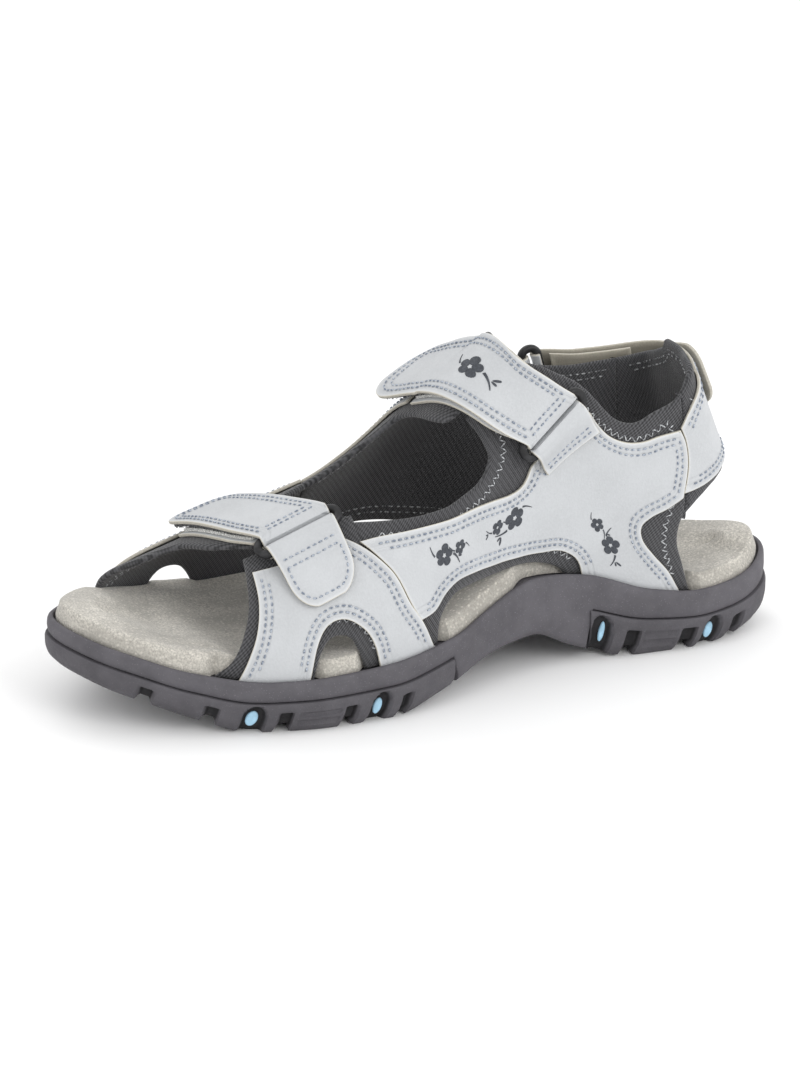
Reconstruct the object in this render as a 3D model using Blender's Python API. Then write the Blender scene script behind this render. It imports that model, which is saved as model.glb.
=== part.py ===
import math

import bmesh
import bpy
import numpy as np

MM = 0.001
CENTRE = np.array((2.6605, 0.0, 0.0))  # the middle of the sole's width: it bulges more on its big-toe side

# ---- colours ----
GREY_LEATHER = (0.60, 0.62, 0.64)
DARK_LINING = (0.07, 0.07, 0.075)
DARK_RUBBER = (0.11, 0.10, 0.11)
CREAM_SUEDE = (0.62, 0.58, 0.50)
CORK_FOAM = (0.55, 0.50, 0.42)
CREAM_FLEECE = (0.70, 0.69, 0.66)
DARK_FLEECE = (0.12, 0.12, 0.13)
LIGHT_BLUE = (0.33, 0.55, 0.75)
BLACK_PLASTIC = (0.02, 0.02, 0.02)

# ---- driving dimensions of the sole, in millimetres; fractions run from the heel (0) to the toe (1) ----
SOLE_LENGTH = 265.0
MEDIAL_EDGE = ((0, 0), (0.015, 12.7), (0.04, 18.8), (0.08, 24), (0.14, 26.7), (0.2, 26.8), (0.3, 25.4),
               (0.4, 32), (0.5, 43.5), (0.6, 50.7), (0.68, 51.8), (0.75, 49), (0.85, 40.7),
               (0.94, 29.1), (0.985, 14), (1, 1))
LATERAL_EDGE = ((0, 0), (0.015, 11.8), (0.04, 19.5), (0.08, 27), (0.14, 31.6), (0.2, 33), (0.3, 34.5),
                (0.4, 37), (0.5, 41), (0.6, 45), (0.68, 46.5), (0.75, 45), (0.85, 37.5), (0.94, 23.6),
                (0.985, 10), (1, -1))
MEDIAL_TOP = ((0, 29), (0.05, 24.2), (0.13, 22.3), (0.2, 25.1), (0.29, 33), (0.37, 35.8), (0.44, 30),
              (0.5, 24), (0.6, 20.3), (0.75, 18.6), (0.85, 22.2), (0.93, 28.5), (1, 33))
LATERAL_TOP = ((0, 29), (0.05, 26), (0.14, 24.5), (0.3, 27), (0.4, 28), (0.5, 25), (0.6, 21.5),
               (0.75, 19.6), (0.85, 22.8), (0.93, 28.5), (1, 33))
MEDIAL_BOTTOM = ((0, 6), (0.04, 2.9), (0.08, 1.2), (0.13, 0), (0.22, 0), (0.3, 5.4), (0.37, 14),
                 (0.44, 12), (0.52, 4.5), (0.59, 0), (0.78, 0), (0.85, 5), (0.92, 11.5), (1, 17.3))
LATERAL_BOTTOM = ((0, 6), (0.04, 2.9), (0.08, 1.2), (0.13, 0), (0.25, 0), (0.34, 4), (0.42, 6),
                  (0.5, 3), (0.57, 0), (0.78, 0), (0.85, 5), (0.92, 11.5), (1, 17.3))
SLOT_INSET = 6.1  # the foot side of the straps where they enter the sole, in from the sole's edge
SLOT_DEPTH = 1.8

# ---- the foot form that the straps wrap ----
RIDGE_BACK = ((0, 53), (0.12, 55), (0.25, 60), (0.3, 57), (0.35, 49), (0.39, 38), (0.43, 25), (0.5, 3),
              (0.6, -26), (0.7, -53), (0.8, -79), (0.9, -105), (1, -128))
RIDGE_HEIGHT = ((0, 190), (0.25, 190), (0.3, 172), (0.35, 142), (0.39, 119), (0.43, 108), (0.5, 92),
                (0.56, 78), (0.62, 67.5), (0.7, 59.5), (0.8, 51.5), (0.9, 44), (1, 38))
RIDGE_OFFSET = ((0, 0), (0.4, 0), (0.6, 3), (0.8, 4), (1, 0))
ROUNDNESS = ((0, 1.08), (0.07, 1.4), (0.16, 2.3), (0.4, 2.45), (0.7, 2.3), (1, 2.1))
SHOE_HALF = SOLE_LENGTH / 2


def along(knots, t):
    """A smooth curve through (position, value) knots, read at t."""
    k = np.array(knots, float)
    x, v = k[:, 0], k[:, 1]
    h = np.diff(x)
    d = np.diff(v) / h
    m = np.empty(len(x))
    total = d[:-1] + d[1:]
    product = d[:-1] * d[1:]
    m[1:-1] = np.where(product > 0, 2 * product / np.where(total == 0, 1, total), 0)
    m[0], m[-1] = d[0], d[-1]
    t = np.clip(np.asarray(t, float), x[0], x[-1])
    i = np.clip(np.searchsorted(x, t, "right") - 1, 0, len(h) - 1)
    s = (t - x[i]) / h[i]
    a = (1 + 2 * s) * (1 - s) ** 2 * v[i] + s * (1 - s) ** 2 * h[i] * m[i]
    return a + s * s * (3 - 2 * s) * v[i + 1] + s * s * (s - 1) * h[i] * m[i + 1]


def edge_width(side, s):
    """Half width of the sole at fraction s, with the ends rounded."""
    knots = MEDIAL_EDGE if side > 0 else LATERAL_EDGE
    turned = [(math.acos(1 - 2 * p), v) for p, v in knots]
    return along(turned, np.arccos(1 - 2 * np.clip(s, 0, 1)))


def dense_edges():
    """For each side, the sole's outline from heel to toe: fractions, run, points and inward normals."""
    found = {}
    phi = np.linspace(0, math.pi, 721)
    s = (1 - np.cos(phi)) / 2
    for side in (1, -1):
        p = np.stack([side * edge_width(side, s), SHOE_HALF - s * SOLE_LENGTH], 1)
        found[side] = [s, None, p, None]
    for side in (1, -1):
        s, _, p, _ = found[side]
        q = found[-side][2]
        whole = np.concatenate([q[1:40][::-1], p, q[-40:-1][::-1]])
        t = np.gradient(whole, axis=0)[39:39 + len(p)]
        smoothed = [np.convolve(np.pad(t[:, i], 4, "edge"), np.ones(9) / 9, "valid") for i in (0, 1)]
        t = np.stack(smoothed, 1)
        t /= np.linalg.norm(t, axis=1)[:, None]
        n = side * np.stack([t[:, 1], -t[:, 0]], 1)
        run = np.concatenate([[0], np.cumsum(np.linalg.norm(np.diff(p, axis=0), axis=1))])
        found[side][1] = run
        found[side][3] = n
    for end in (0, -1):
        n = found[1][3][end] * 0
        n[1] = -1 if end == 0 else 1
        found[1][3][end] = n
        found[-1][3][end] = n
    return found


EDGES = dense_edges()


def at_run(side, a, what):
    s, run, p, n = EDGES[side]
    v = (s, run, p, n)[what]
    if v.ndim == 1:
        return np.interp(a, run, v)
    return np.stack([np.interp(a, run, v[:, 0]), np.interp(a, run, v[:, 1])], -1)


def run_of(side, s):
    return np.interp(s, EDGES[side][0], EDGES[side][1])


def edge_point(side, a, inset):
    """A point of the sole's outline at run a, moved in by inset."""
    n = at_run(side, a, 3)
    n = n / np.linalg.norm(n, axis=-1)[..., None]
    return at_run(side, a, 2) + n * np.asarray(inset)[..., None]


def top_height(side, s):
    return along(MEDIAL_TOP if side > 0 else LATERAL_TOP, s)


def bottom_height(side, s):
    return along(MEDIAL_BOTTOM if side > 0 else LATERAL_BOTTOM, s)


def form_point(side, s, v):
    """The foot form: v runs from the sole's edge (0) to the ridge of the foot (1)."""
    s, v = np.broadcast_arrays(np.asarray(s, float), np.asarray(v, float))
    a = run_of(side, s)
    foot = edge_point(side, a, SLOT_INSET)
    z0 = top_height(side, s) - SLOT_DEPTH
    p = along(ROUNDNESS, s)
    up = np.sin(v * math.pi / 2) ** (2 / p)
    inward = 1 - np.maximum(np.cos(v * math.pi / 2), 0) ** (2 / p)
    x = foot[..., 0] * (1 - inward) + along(RIDGE_OFFSET, s) * inward
    y = foot[..., 1] * (1 - inward) + along(RIDGE_BACK, s) * inward
    return np.stack([x, y, z0 + (along(RIDGE_HEIGHT, s) - z0) * up], -1)


def build_form():
    """For each side, a grid of the form: rows are fractions along the sole, columns are steps up it."""
    found = {}
    phi = np.linspace(0, math.pi, 241)
    s = (1 - np.cos(phi)) / 2
    v = np.linspace(0, 1, 121)
    for side in (1, -1):
        p = form_point(side, s[:, None], v[None, :])
        steps = np.linalg.norm(np.diff(p, axis=1), axis=2)
        climb = np.concatenate([np.zeros((len(s), 1)), np.cumsum(steps, 1)], 1)
        found[side] = (s, v, climb)
    return found


FORM = build_form()


def climb_length(side, s):
    """How far it is up the form from the sole to the ridge."""
    f, _, climb = FORM[side]
    return np.interp(s, f, climb[:, -1])


def share_of_climb(side, s, h):
    """The v of form_point that lies h up the form."""
    f, v, climb = FORM[side]
    i = np.clip(np.searchsorted(f, s, "right") - 1, 0, len(f) - 2)
    w = (s - f[i]) / (f[i + 1] - f[i])
    row = climb[i] * (1 - w) + climb[i + 1] * w
    return float(np.interp(h, row, v))


def on_form(side, a, h):
    """The form at run a and climb h. A negative run goes round the heel; a long climb goes over the ridge."""
    if a < 0:
        side, a = -side, -a
    s = float(at_run(side, a, 0))
    length = float(climb_length(side, s))
    if h > length:
        other = float(climb_length(-side, s))
        return form_point(-side, s, share_of_climb(-side, s, max(other - (h - length), 0)))
    return form_point(side, s, share_of_climb(side, s, h))


def lifted(side, a, h, lift):
    """A point that stands lift off the form, and the form's outward normal there."""
    e = 0.6
    p = on_form(side, a, h)
    du = on_form(side, a + e, h) - on_form(side, a - e, h)
    low = max(h - e, 0)
    dv = on_form(side, a, h + e) - on_form(side, a, low)
    n = np.cross(du, dv) * (-side)
    n /= np.linalg.norm(n)
    return p + n * lift, n


# ---- solids ----


def clear_scene():
    for obj in list(bpy.data.objects):
        bpy.data.objects.remove(obj, do_unlink=True)
    for mesh in list(bpy.data.meshes):
        bpy.data.meshes.remove(mesh)


def material(name, colour, roughness):
    made = bpy.data.materials.new(name)
    made.use_nodes = True
    shader = made.node_tree.nodes["Principled BSDF"]
    shader.inputs["Base Color"].default_value = (*colour, 1)
    shader.inputs["Roughness"].default_value = roughness
    return made


def finish(name, mesh, colour, roughness, origin=None):
    """Closes a bmesh built in millimetres into one named object in metres."""
    bmesh.ops.remove_doubles(mesh, verts=mesh.verts, dist=0.01)
    bmesh.ops.dissolve_degenerate(mesh, edges=mesh.edges, dist=0.005)
    bmesh.ops.recalc_face_normals(mesh, faces=mesh.faces)
    if mesh.calc_volume(signed=True) < 0:
        bmesh.ops.reverse_faces(mesh, faces=mesh.faces)
    shift = CENTRE if origin is None else np.array(origin, float)
    for vert in mesh.verts:
        vert.co = [float(c - o) * MM for c, o in zip(vert.co, shift)]
    data = bpy.data.meshes.new(name)
    mesh.to_mesh(data)
    mesh.free()
    obj = bpy.data.objects.new(name, data)
    obj.location = [float(o) * MM for o in shift - CENTRE]
    data.materials.append(material(name, colour, roughness))
    bpy.context.scene.collection.objects.link(obj)
    return obj


def stitched_rows(rows, closed, caps):
    """A bmesh through equal-length rows of points; every row is a closed loop when caps are wanted."""
    mesh = bmesh.new()
    made = [[mesh.verts.new(p) for p in row] for row in rows]
    count = len(rows)
    width = len(rows[0])
    for i in range(count if closed else count - 1):
        here, there = made[i], made[(i + 1) % count]
        for j in range(width if caps else width - 1):
            k = (j + 1) % width
            mesh.faces.new([here[j], here[k], there[k], there[j]])
    if caps and not closed:
        mesh.faces.new(made[0])
        mesh.faces.new(made[-1][::-1])
    return mesh


def smooth_run(points, gap):
    """Points at most gap apart on a smooth curve through the given points."""
    p = np.array(points, float)
    if len(p) == 2:
        count = max(int(math.ceil(np.linalg.norm(p[1] - p[0]) / gap)), 1)
        return [p[0] + (p[1] - p[0]) * i / count for i in range(count)]
    steps = np.concatenate([[0], np.cumsum(np.linalg.norm(np.diff(p, axis=0), axis=1))])
    first = 2 * p[0] - p[1]
    last = 2 * p[-1] - p[-2]
    q = np.concatenate([[first], p, [last]])
    found = []
    for i in range(len(p) - 1):
        count = max(int(math.ceil((steps[i + 1] - steps[i]) / gap)), 1)
        for j in range(count):
            t = j / count
            a, b, c, d = q[i:i + 4]
            found.append(0.5 * (2 * b + (c - a) * t + (2 * a - 5 * b + 4 * c - d) * t * t
                                + (3 * b - a - 3 * c + d) * t ** 3))
    return found


def outline(runs, gap):
    """A closed outline out of smooth runs that meet at corners. Each run starts where the last one ends."""
    found = []
    for i, run in enumerate(runs):
        end = runs[(i + 1) % len(runs)][0]
        found += smooth_run(list(run) + [end], gap)
    return found


def panel(name, side, runs, low, high, colour, roughness, gap=5.0, cell=9.0):
    """A sheet laid on the foot form. Its outline is in run and climb; its faces stand low and high off it."""
    flat = bmesh.new()
    flat.faces.new([flat.verts.new((p[0], p[1], 0)) for p in outline(runs, gap)])
    spots = np.array([v.co[:2] for v in flat.verts])
    for axis in (0, 1):
        start = math.floor(spots[:, axis].min() / cell) + 1
        while start * cell < spots[:, axis].max() - 0.2 * cell:
            point = [0, 0, 0]
            point[axis] = start * cell
            normal = [0, 0, 0]
            normal[axis] = 1
            bmesh.ops.bisect_plane(flat, geom=flat.verts[:] + flat.edges[:] + flat.faces[:], dist=0.4,
                                   plane_co=point, plane_no=normal)
            start += 1
    flat.verts.index_update()
    places = [tuple(v.co[:2]) for v in flat.verts]
    faces = [[v.index for v in f.verts] for f in flat.faces]
    rim = [(e.verts[0].index, e.verts[1].index) for e in flat.edges if len(e.link_faces) == 1]
    flat.free()
    mesh = bmesh.new()
    base = [lifted(side, a, max(h, 0), 0) for a, h in places]
    under = [mesh.verts.new(p + n * low) for p, n in base]
    over = [mesh.verts.new(p + n * high) for p, n in base]
    for face in faces:
        mesh.faces.new([over[i] for i in face])
        mesh.faces.new([under[i] for i in reversed(face)])
    for a, b in rim:
        mesh.faces.new([over[a], over[b], under[b], under[a]])
    return finish(name, mesh, colour, roughness)


# ---- the sole ----
HEEL_SOLE_END = 0.29
FORE_SOLE_START = 0.5
TREAD_THICKNESS = 4.6
MIDSOLE_RAMP = 0.6  # the midsole rises this much more off the tread, away from the tread's ends
STEEP_PART = (0.504, 0.52, 0.535, 0.55, 0.565, 0.6)  # the sole's underside bends quickly here
GROOVE_RISE = 2.4
GROOVES = ((0.066, 0.083), (0.142, 0.163), (0.224, 0.242), (0.576, 0.588), (0.652, 0.667),
           (0.737, 0.753), (0.828, 0.843), (0.905, 0.92))
WINDOWS = ((0.104, 0.13), (0.262, 0.283), (0.607, 0.632), (0.771, 0.799))
FORE_BAND = 0.6  # height of the rubber band on the sole's side, as a share of the side
HEEL_BAND = 0.55
CHANNELS = {1: ((45, 123), (149, 188), (199, 241)), -1: ((47, 115), (170, 224), (238, 271))}
FLOOR_DROP = 2.2
GAP = 0.3
SUEDE = 1.4  # thickness of the footbed's cover
FOOTBED_MIDDLE = 3.2  # height of the footbed above the midsole's edge, on its middle line
FOOTBED_FLAT = 4.3
FOOTBED_RIM = 5.2
FOOTBED_TUCK = 1.6  # how far the cover's side reaches down behind the midsole's edge
CHANNEL_INSET = 7.3  # the footbed stands this far in where a strap passes, and EDGE_INSET elsewhere
EDGE_INSET = 3.1
FLAT_INSET = 15.0  # the sole's inner faces run flat from here to its middle line


def spine_point(s, height_of):
    """A point on the middle line of the sole; the line stops short of the heel and the toe."""
    y = SHOE_HALF - s * SOLE_LENGTH
    if abs(y) > 90:
        y = math.copysign(90 + (abs(y) - 90) * 0.55, y)
    t = 0.5 - y / SOLE_LENGTH
    x = (edge_width(1, t) - edge_width(-1, t)) / 2
    return np.array([x, y, (height_of(1, t) + height_of(-1, t)) / 2])


def column(side, s, steps):
    """One cross-section line of the sole: steps are (inset, height), and inset None is the middle line."""
    a = float(run_of(side, s))
    found = []
    for inset, height in steps:
        if inset is None:
            found.append(spine_point(s, height))
        else:
            x, y = edge_point(side, a, inset)
            found.append(np.array([x, y, height(side, s) if callable(height) else height]))
    return found


def sole_piece(name, fractions, steps_of, closed, colour, roughness):
    """A solid out of cross-section lines set round the sole. steps_of(side, s) gives each line's steps."""
    if closed:
        spots = [(1, s) for s in fractions] + [(-1, s) for s in fractions[-2:0:-1]]
    else:
        spots = [(1, s) for s in fractions] + [(-1, s) for s in fractions[-2::-1]]
    rows = [column(side, s, steps_of(side, s)) for side, s in spots]
    mesh = bmesh.new()
    known = {}

    def vert(p):
        key = tuple(np.round(p, 2))
        if key not in known:
            known[key] = mesh.verts.new([float(c) for c in p])
        return known[key]

    made = [[vert(p) for p in row] for row in rows]
    for i in range(len(rows) if closed else len(rows) - 1):
        here, there = made[i], made[(i + 1) % len(rows)]
        for j in range(len(here) - 1):
            corners = []
            for v in (here[j], here[j + 1], there[j + 1], there[j]):
                if v not in corners:
                    corners.append(v)
            if len(corners) > 2:
                mesh.faces.new(corners)
    if not closed:
        mesh.faces.new(made[0] + made[-1][-2:0:-1])
    return finish(name, mesh, colour, roughness)


def spaced(first, last, count):
    """Fractions from first to last, closer together towards the heel's and the toe's ends."""
    a, b = math.acos(1 - 2 * first), math.acos(1 - 2 * last)
    return [(1 - math.cos(a + (b - a) * i / (count - 1))) / 2 for i in range(count)]


def with_breaks(fractions, breaks, width):
    """Adds a close pair of fractions at every break, and drops what stands too near them."""
    pairs = sorted(b + d for b in breaks for d in (-width, width))
    ends = (fractions[0], fractions[-1])
    kept = [f for f in fractions if f in ends or min(abs(f - p) for p in pairs) > 2 * width]
    return sorted(kept + [p for p in pairs if fractions[0] < p < fractions[-1]])


def joined(fractions, more):
    """Adds the fractions of more, and drops those of fractions that stand too near them."""
    return sorted([f for f in fractions if min(abs(f - m) for m in more) > 0.012] + list(more))


def in_any(ranges, s):
    return any(low < s < high for low, high in ranges)


def tread_bottom(side, s):
    return bottom_height(side, s)


def has_tread(s):
    return s < HEEL_SOLE_END or s > FORE_SOLE_START


def band_top(side, s):
    share = HEEL_BAND if s < 0.4 else FORE_BAND
    low = bottom_height(side, s)
    return low + share * (top_height(side, s) - low)


def midsole_bottom(side, s):
    if not has_tread(s):
        return bottom_height(side, s)
    from_end = min(abs(s - HEEL_SOLE_END), abs(s - FORE_SOLE_START))
    return bottom_height(side, s) + TREAD_THICKNESS + MIDSOLE_RAMP * min(from_end / 0.03, 1)


def midsole_steps(side, s):
    top = float(top_height(side, s))
    low = float(midsole_bottom(side, s))

    def floor(sd, f):
        return top_height(sd, f) - FLOOR_DROP

    if has_tread(s):
        band = float(band_top(side, s)) + 0.4
        wall = [(5.4, low + 0.4), (4.6, band), (0.3, band)]
    else:
        wall = [(4.0, low), (1.6, low + 1.6), (0.3, low + 0.5 * (top - low))]
    return [(None, midsole_bottom), (FLAT_INSET, low)] + wall + [
        (0, (wall[-1][1] + top) / 2), (0.6, top - 1), (1.2, top), (2.0, top), (2.2, top - FLOOR_DROP),
        (FLAT_INSET, top - FLOOR_DROP), (None, floor)]


def outsole_steps(side, s):
    low = float(tread_bottom(side, s))
    top = float(band_top(side, s))
    inner = low + TREAD_THICKNESS - GAP
    groove, window = in_any(GROOVES, s), in_any(WINDOWS, s)
    cut = 2.6 if window else 1.9 if groove else 0
    rise = GROOVE_RISE if cut else 0

    def underside(sd, f):
        return tread_bottom(sd, f) + rise

    def inside(sd, f):
        return tread_bottom(sd, f) + TREAD_THICKNESS - GAP

    outside = [(None, underside), (FLAT_INSET, low + rise), (2.4 + cut * 0.4, low + rise),
               (0.4 + cut * 0.8, low + 2.6 + rise * 0.3), (-1.0 + cut, top - 0.8),
               (-0.4 + cut * 0.8, top)]
    return outside + [(3.4, top), (4.2, inner), (FLAT_INSET, inner), (None, inside)]


def in_channel(side, s):
    a = run_of(side, s)
    return any(low < a < high for low, high in CHANNELS[side])


def side_inset(side, s):
    return CHANNEL_INSET if in_channel(side, s) else EDGE_INSET


def cover_steps(side, s):
    top = float(top_height(side, s))
    edge = side_inset(side, s)

    def upper(sd, f):
        return top_height(sd, f) + FOOTBED_MIDDLE

    def lower(sd, f):
        return top_height(sd, f) + FOOTBED_MIDDLE - SUEDE

    outside = [(None, upper), (FLAT_INSET, top + FOOTBED_FLAT), (edge + 2.6, top + FOOTBED_RIM),
               (edge + 0.7, top + 4.4), (edge, top + 2.6), (edge, top - FOOTBED_TUCK)]
    inside = [(edge + SUEDE, top - FOOTBED_TUCK), (edge + SUEDE, top + 2.4),
              (edge + SUEDE + 1.6, top + 3.6),
              (FLAT_INSET, top + FOOTBED_FLAT - SUEDE), (None, lower)]
    return outside + inside


def core_steps(side, s):
    top = float(top_height(side, s))
    edge = side_inset(side, s) + SUEDE + GAP
    under_cover = SUEDE + 5 * GAP
    over_floor = 3 * GAP - FLOOR_DROP

    def upper(sd, f):
        return top_height(sd, f) + FOOTBED_MIDDLE - under_cover

    def lower(sd, f):
        return top_height(sd, f) + over_floor

    return [(None, upper), (FLAT_INSET, top + FOOTBED_FLAT - under_cover), (edge + 1.8, top + 2.0),
            (edge, top + 1.2), (edge, top + over_floor), (FLAT_INSET, top + over_floor), (None, lower)]


def lug_insert(name, side, low_s, high_s):
    """A small rubber insert that fills a window in the tread's side."""
    a0, a1 = sorted((float(run_of(side, low_s)), float(run_of(side, high_s))))
    middle, half = (a0 + a1) / 2, (a1 - a0) / 2 - 1.0
    s = float(at_run(side, middle, 0))
    low = float(tread_bottom(side, s)) + GROOVE_RISE + 0.4
    high = float(band_top(side, s)) - 1.2
    ring = []
    for i in range(10):
        turn = 2 * math.pi * i / 10
        ring.append((middle + half * math.cos(turn),
                     (low + high) / 2 + (high - low) / 2 * math.sin(turn)))
    rows = []
    for inset, shrink in ((-0.1, 0.8), (0.1, 1.0), (0.9, 1.0)):
        row = []
        for a, z in ring:
            a = middle + (a - middle) * shrink
            z = (low + high) / 2 + (z - (low + high) / 2) * shrink
            x, y = edge_point(side, a, inset)
            row.append((x, y, z))
        rows.append(row)
    return finish(name, stitched_rows(rows, False, True), LIGHT_BLUE, 0.5)


def make_sole():
    base = joined(with_breaks(spaced(0, 1, 27), (HEEL_SOLE_END, FORE_SOLE_START), 0.001), STEEP_PART)
    sole_piece("midsole", base, midsole_steps, True, DARK_RUBBER, 0.8)
    edges = [e for pair in GROOVES + WINDOWS for e in pair]
    fore = with_breaks(joined(spaced(FORE_SOLE_START + 0.004, 1, 15), STEEP_PART),
                       [e for e in edges if e > 0.5],
                       0.0012)
    sole_piece("forefoot_outsole", fore, outsole_steps, False, DARK_RUBBER, 0.75)
    heel = with_breaks(spaced(0, HEEL_SOLE_END - 0.004, 9), [e for e in edges if e < 0.5], 0.0012)
    sole_piece("heel_outsole", heel[::-1], outsole_steps, False, DARK_RUBBER, 0.75)
    ends = [(side, a) for side in (1, -1) for zone in CHANNELS[side] for a in zone]
    breaks = sorted(float(at_run(side, a, 0)) for side, a in ends)
    around = with_breaks(spaced(0, 1, 23), breaks, 0.002)
    sole_piece("footbed_core", around, core_steps, True, CORK_FOAM, 0.9)
    sole_piece("footbed_cover", around, cover_steps, True, CREAM_SUEDE, 0.95)
    for number, (low, high) in enumerate(WINDOWS, 1):
        lug_insert(f"medial_lug_insert_{number}", 1, low, high)
        lug_insert(f"lateral_lug_insert_{number}", -1, low, high)


# ---- the straps' rings ----
LINING = (0.0, 1.5)
LEATHER = (2.0, 3.2)
VAMP_LEATHER = (2.1, 3.4)
BASE = (2.0, 3.3)
LOOP = (3.7, 4.8)
HOOK = (5.1, 6.2)
TAB = (6.6, 8.0)
RING_LIFT = 5.0
RING_BAR = 1.3
RING_SPREAD = 3.3
FADE = 14.0
STRAP_STEP = 5.0
BASE_START = 3.4  # a strap's base begins outside the round of the tab that turns on the bar
ROLL_STEPS = 6


class Adjuster:
    """One ring and the strap that folds back through it.

    Lines are pairs of (run, climb) points across the strap: ring under the ring, half and far
    along the folded strap, body at the chape's far edge."""

    def __init__(self, side, ring, half, far, body, bulge=1.2):
        self.side = side
        lines = [np.array(line, float) for line in (ring, half, far, body)]
        self.ring, self.half, self.far, self.body = lines
        ends = [lifted(side, *e, RING_LIFT + bulge) for e in self.ring]
        self.ends = [ends[0][0], ends[1][0]]
        self.bar = self.ends[1] - self.ends[0]
        self.length = float(np.linalg.norm(self.bar))
        self.bar /= self.length
        normal = ends[0][1] + ends[1][1]
        normal -= self.bar * float(normal @ self.bar)
        self.normal = normal / np.linalg.norm(normal)
        self.ahead = np.cross(self.bar, self.normal)
        goal = on_form(side, *((self.half[0] + self.half[1]) / 2)) - (self.ends[0] + self.ends[1]) / 2
        if float(goal @ self.ahead) < 0:
            self.ahead = -self.ahead
        self.reach = {way: self.measure(way) for way in (1, -1)}

    def bar_point(self, w, way):
        """A point of the strap's bar (way 1) or of the chape's bar (way -1)."""
        return self.ends[0] + (self.ends[1] - self.ends[0]) * w + self.ahead * RING_SPREAD * way

    def spot(self, way, t, w):
        """The form's (run, climb) at share t of the strap (or of the chape), w across."""
        start = self.ring[0] + (self.ring[1] - self.ring[0]) * w
        if way < 0:
            end = self.body[0] + (self.body[1] - self.body[0]) * w
            first = RING_SPREAD / np.linalg.norm(end - start)
            return start + (end - start) * (first + (1 - first) * t)
        middle = self.half[0] + (self.half[1] - self.half[0]) * w
        end = self.far[0] + (self.far[1] - self.far[0]) * w
        first = 0.5 * RING_SPREAD / np.linalg.norm(middle - start)
        u = first + (1 - first) * t
        return start * (1 - u) * (1 - 2 * u) + middle * 4 * u * (1 - u) + end * u * (2 * u - 1)

    def measure(self, way):
        """Lengths along the middle of the strap, against the share t."""
        shares = np.linspace(0, 1, 25)
        points = [on_form(self.side, *self.spot(way, t, 0.5)) for t in shares]
        steps = np.linalg.norm(np.diff(points, axis=0), axis=1)
        return shares, np.concatenate([[0], np.cumsum(steps)])

    def point(self, way, run, w, lift):
        """A point of a layer: run mm past the bar, w across, lift above the form.

        A negative run is an angle round the bar."""
        if run < 0:
            r = lift - RING_LIFT
            return (self.bar_point(w, way) + self.normal * r * math.cos(run)
                    + self.ahead * way * r * math.sin(run))
        shares, lengths = self.reach[way]
        t = float(np.interp(run, lengths, shares))
        p, n = lifted(self.side, *self.spot(way, t, w), 0)
        k = max(1 - run / FADE, 0)
        k = k * k * (3 - 2 * k)
        under_bar = self.bar_point(w, way) - self.normal * RING_LIFT
        delta = under_bar - on_form(self.side, *self.spot(way, 0, w))
        n = n * (1 - k) + self.normal * k
        return p + delta * k + n * lift / np.linalg.norm(n)


def strap_layer(name, adjuster, way, first, last, layer, colour, roughness, rounded=0.0, roll=False,
                narrow=0.0, settle=None, origin=None):
    """A strip of strap from first to last mm past a bar. settle lowers it towards its far end."""
    grid = [STRAP_STEP * i for i in range(1, 20)]
    stations = [first] + [t for t in grid if first + 1 < t < last - 1] + [last]
    if rounded:
        cut = last - rounded
        stations = [t for t in stations if t < cut - 1]
        stations += [cut + rounded * k for k in (0, 0.45, 0.78, 0.95, 1)]
    if roll:
        turns = [-math.pi * i / ROLL_STEPS for i in range(ROLL_STEPS, 0, -1)]
        stations = turns + stations
    rows = []
    for t in stations:
        squeeze = narrow / adjuster.length
        if rounded and t > last - rounded:
            part = (t - (last - rounded)) / rounded
            squeeze += (1 - math.sqrt(max(1 - part * part * 0.96, 0))) * 0.36
        low, high = layer
        if settle:
            drop = min(max(t, 0) / settle[0], 1)
            drop = drop * drop * (3 - 2 * drop) * settle[1]
            low, high = low - drop, high - drop
        ws = [squeeze, max(0.25, squeeze + 0.02), 0.5, min(0.75, 0.98 - squeeze), 1 - squeeze]
        row = [adjuster.point(way, t, w, high) for w in ws]
        row += [adjuster.point(way, t, w, low) for w in reversed(ws)]
        rows.append(row)
    return finish(name, stitched_rows(rows, False, True), colour, roughness, origin)


def ring_loop(name, adjuster, origin):
    """A rounded oblong ring of round bar."""
    middle = (adjuster.ends[0] + adjuster.ends[1]) / 2
    half = adjuster.length / 2 + 2.4
    r = RING_SPREAD
    path = []
    for end in (1, -1):
        for i in range(7):
            turn = -math.pi / 2 + math.pi * i / 6
            path.append((end * (half - r + r * math.cos(turn)), end * r * math.sin(turn)))
    rows = []
    for i, (u, v) in enumerate(path):
        before, after = path[i - 1], path[(i + 1) % len(path)]
        t = np.array([after[0] - before[0], after[1] - before[1]])
        t /= np.linalg.norm(t)
        centre = middle + adjuster.bar * u + adjuster.ahead * v
        outward = adjuster.bar * t[1] - adjuster.ahead * t[0]
        rows.append([centre + outward * RING_BAR * math.cos(k * math.pi / 4)
                     + adjuster.normal * RING_BAR * math.sin(k * math.pi / 4) for k in range(8)])
    return finish(name, stitched_rows(rows, True, True), BLACK_PLASTIC, 0.35, origin)


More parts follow.
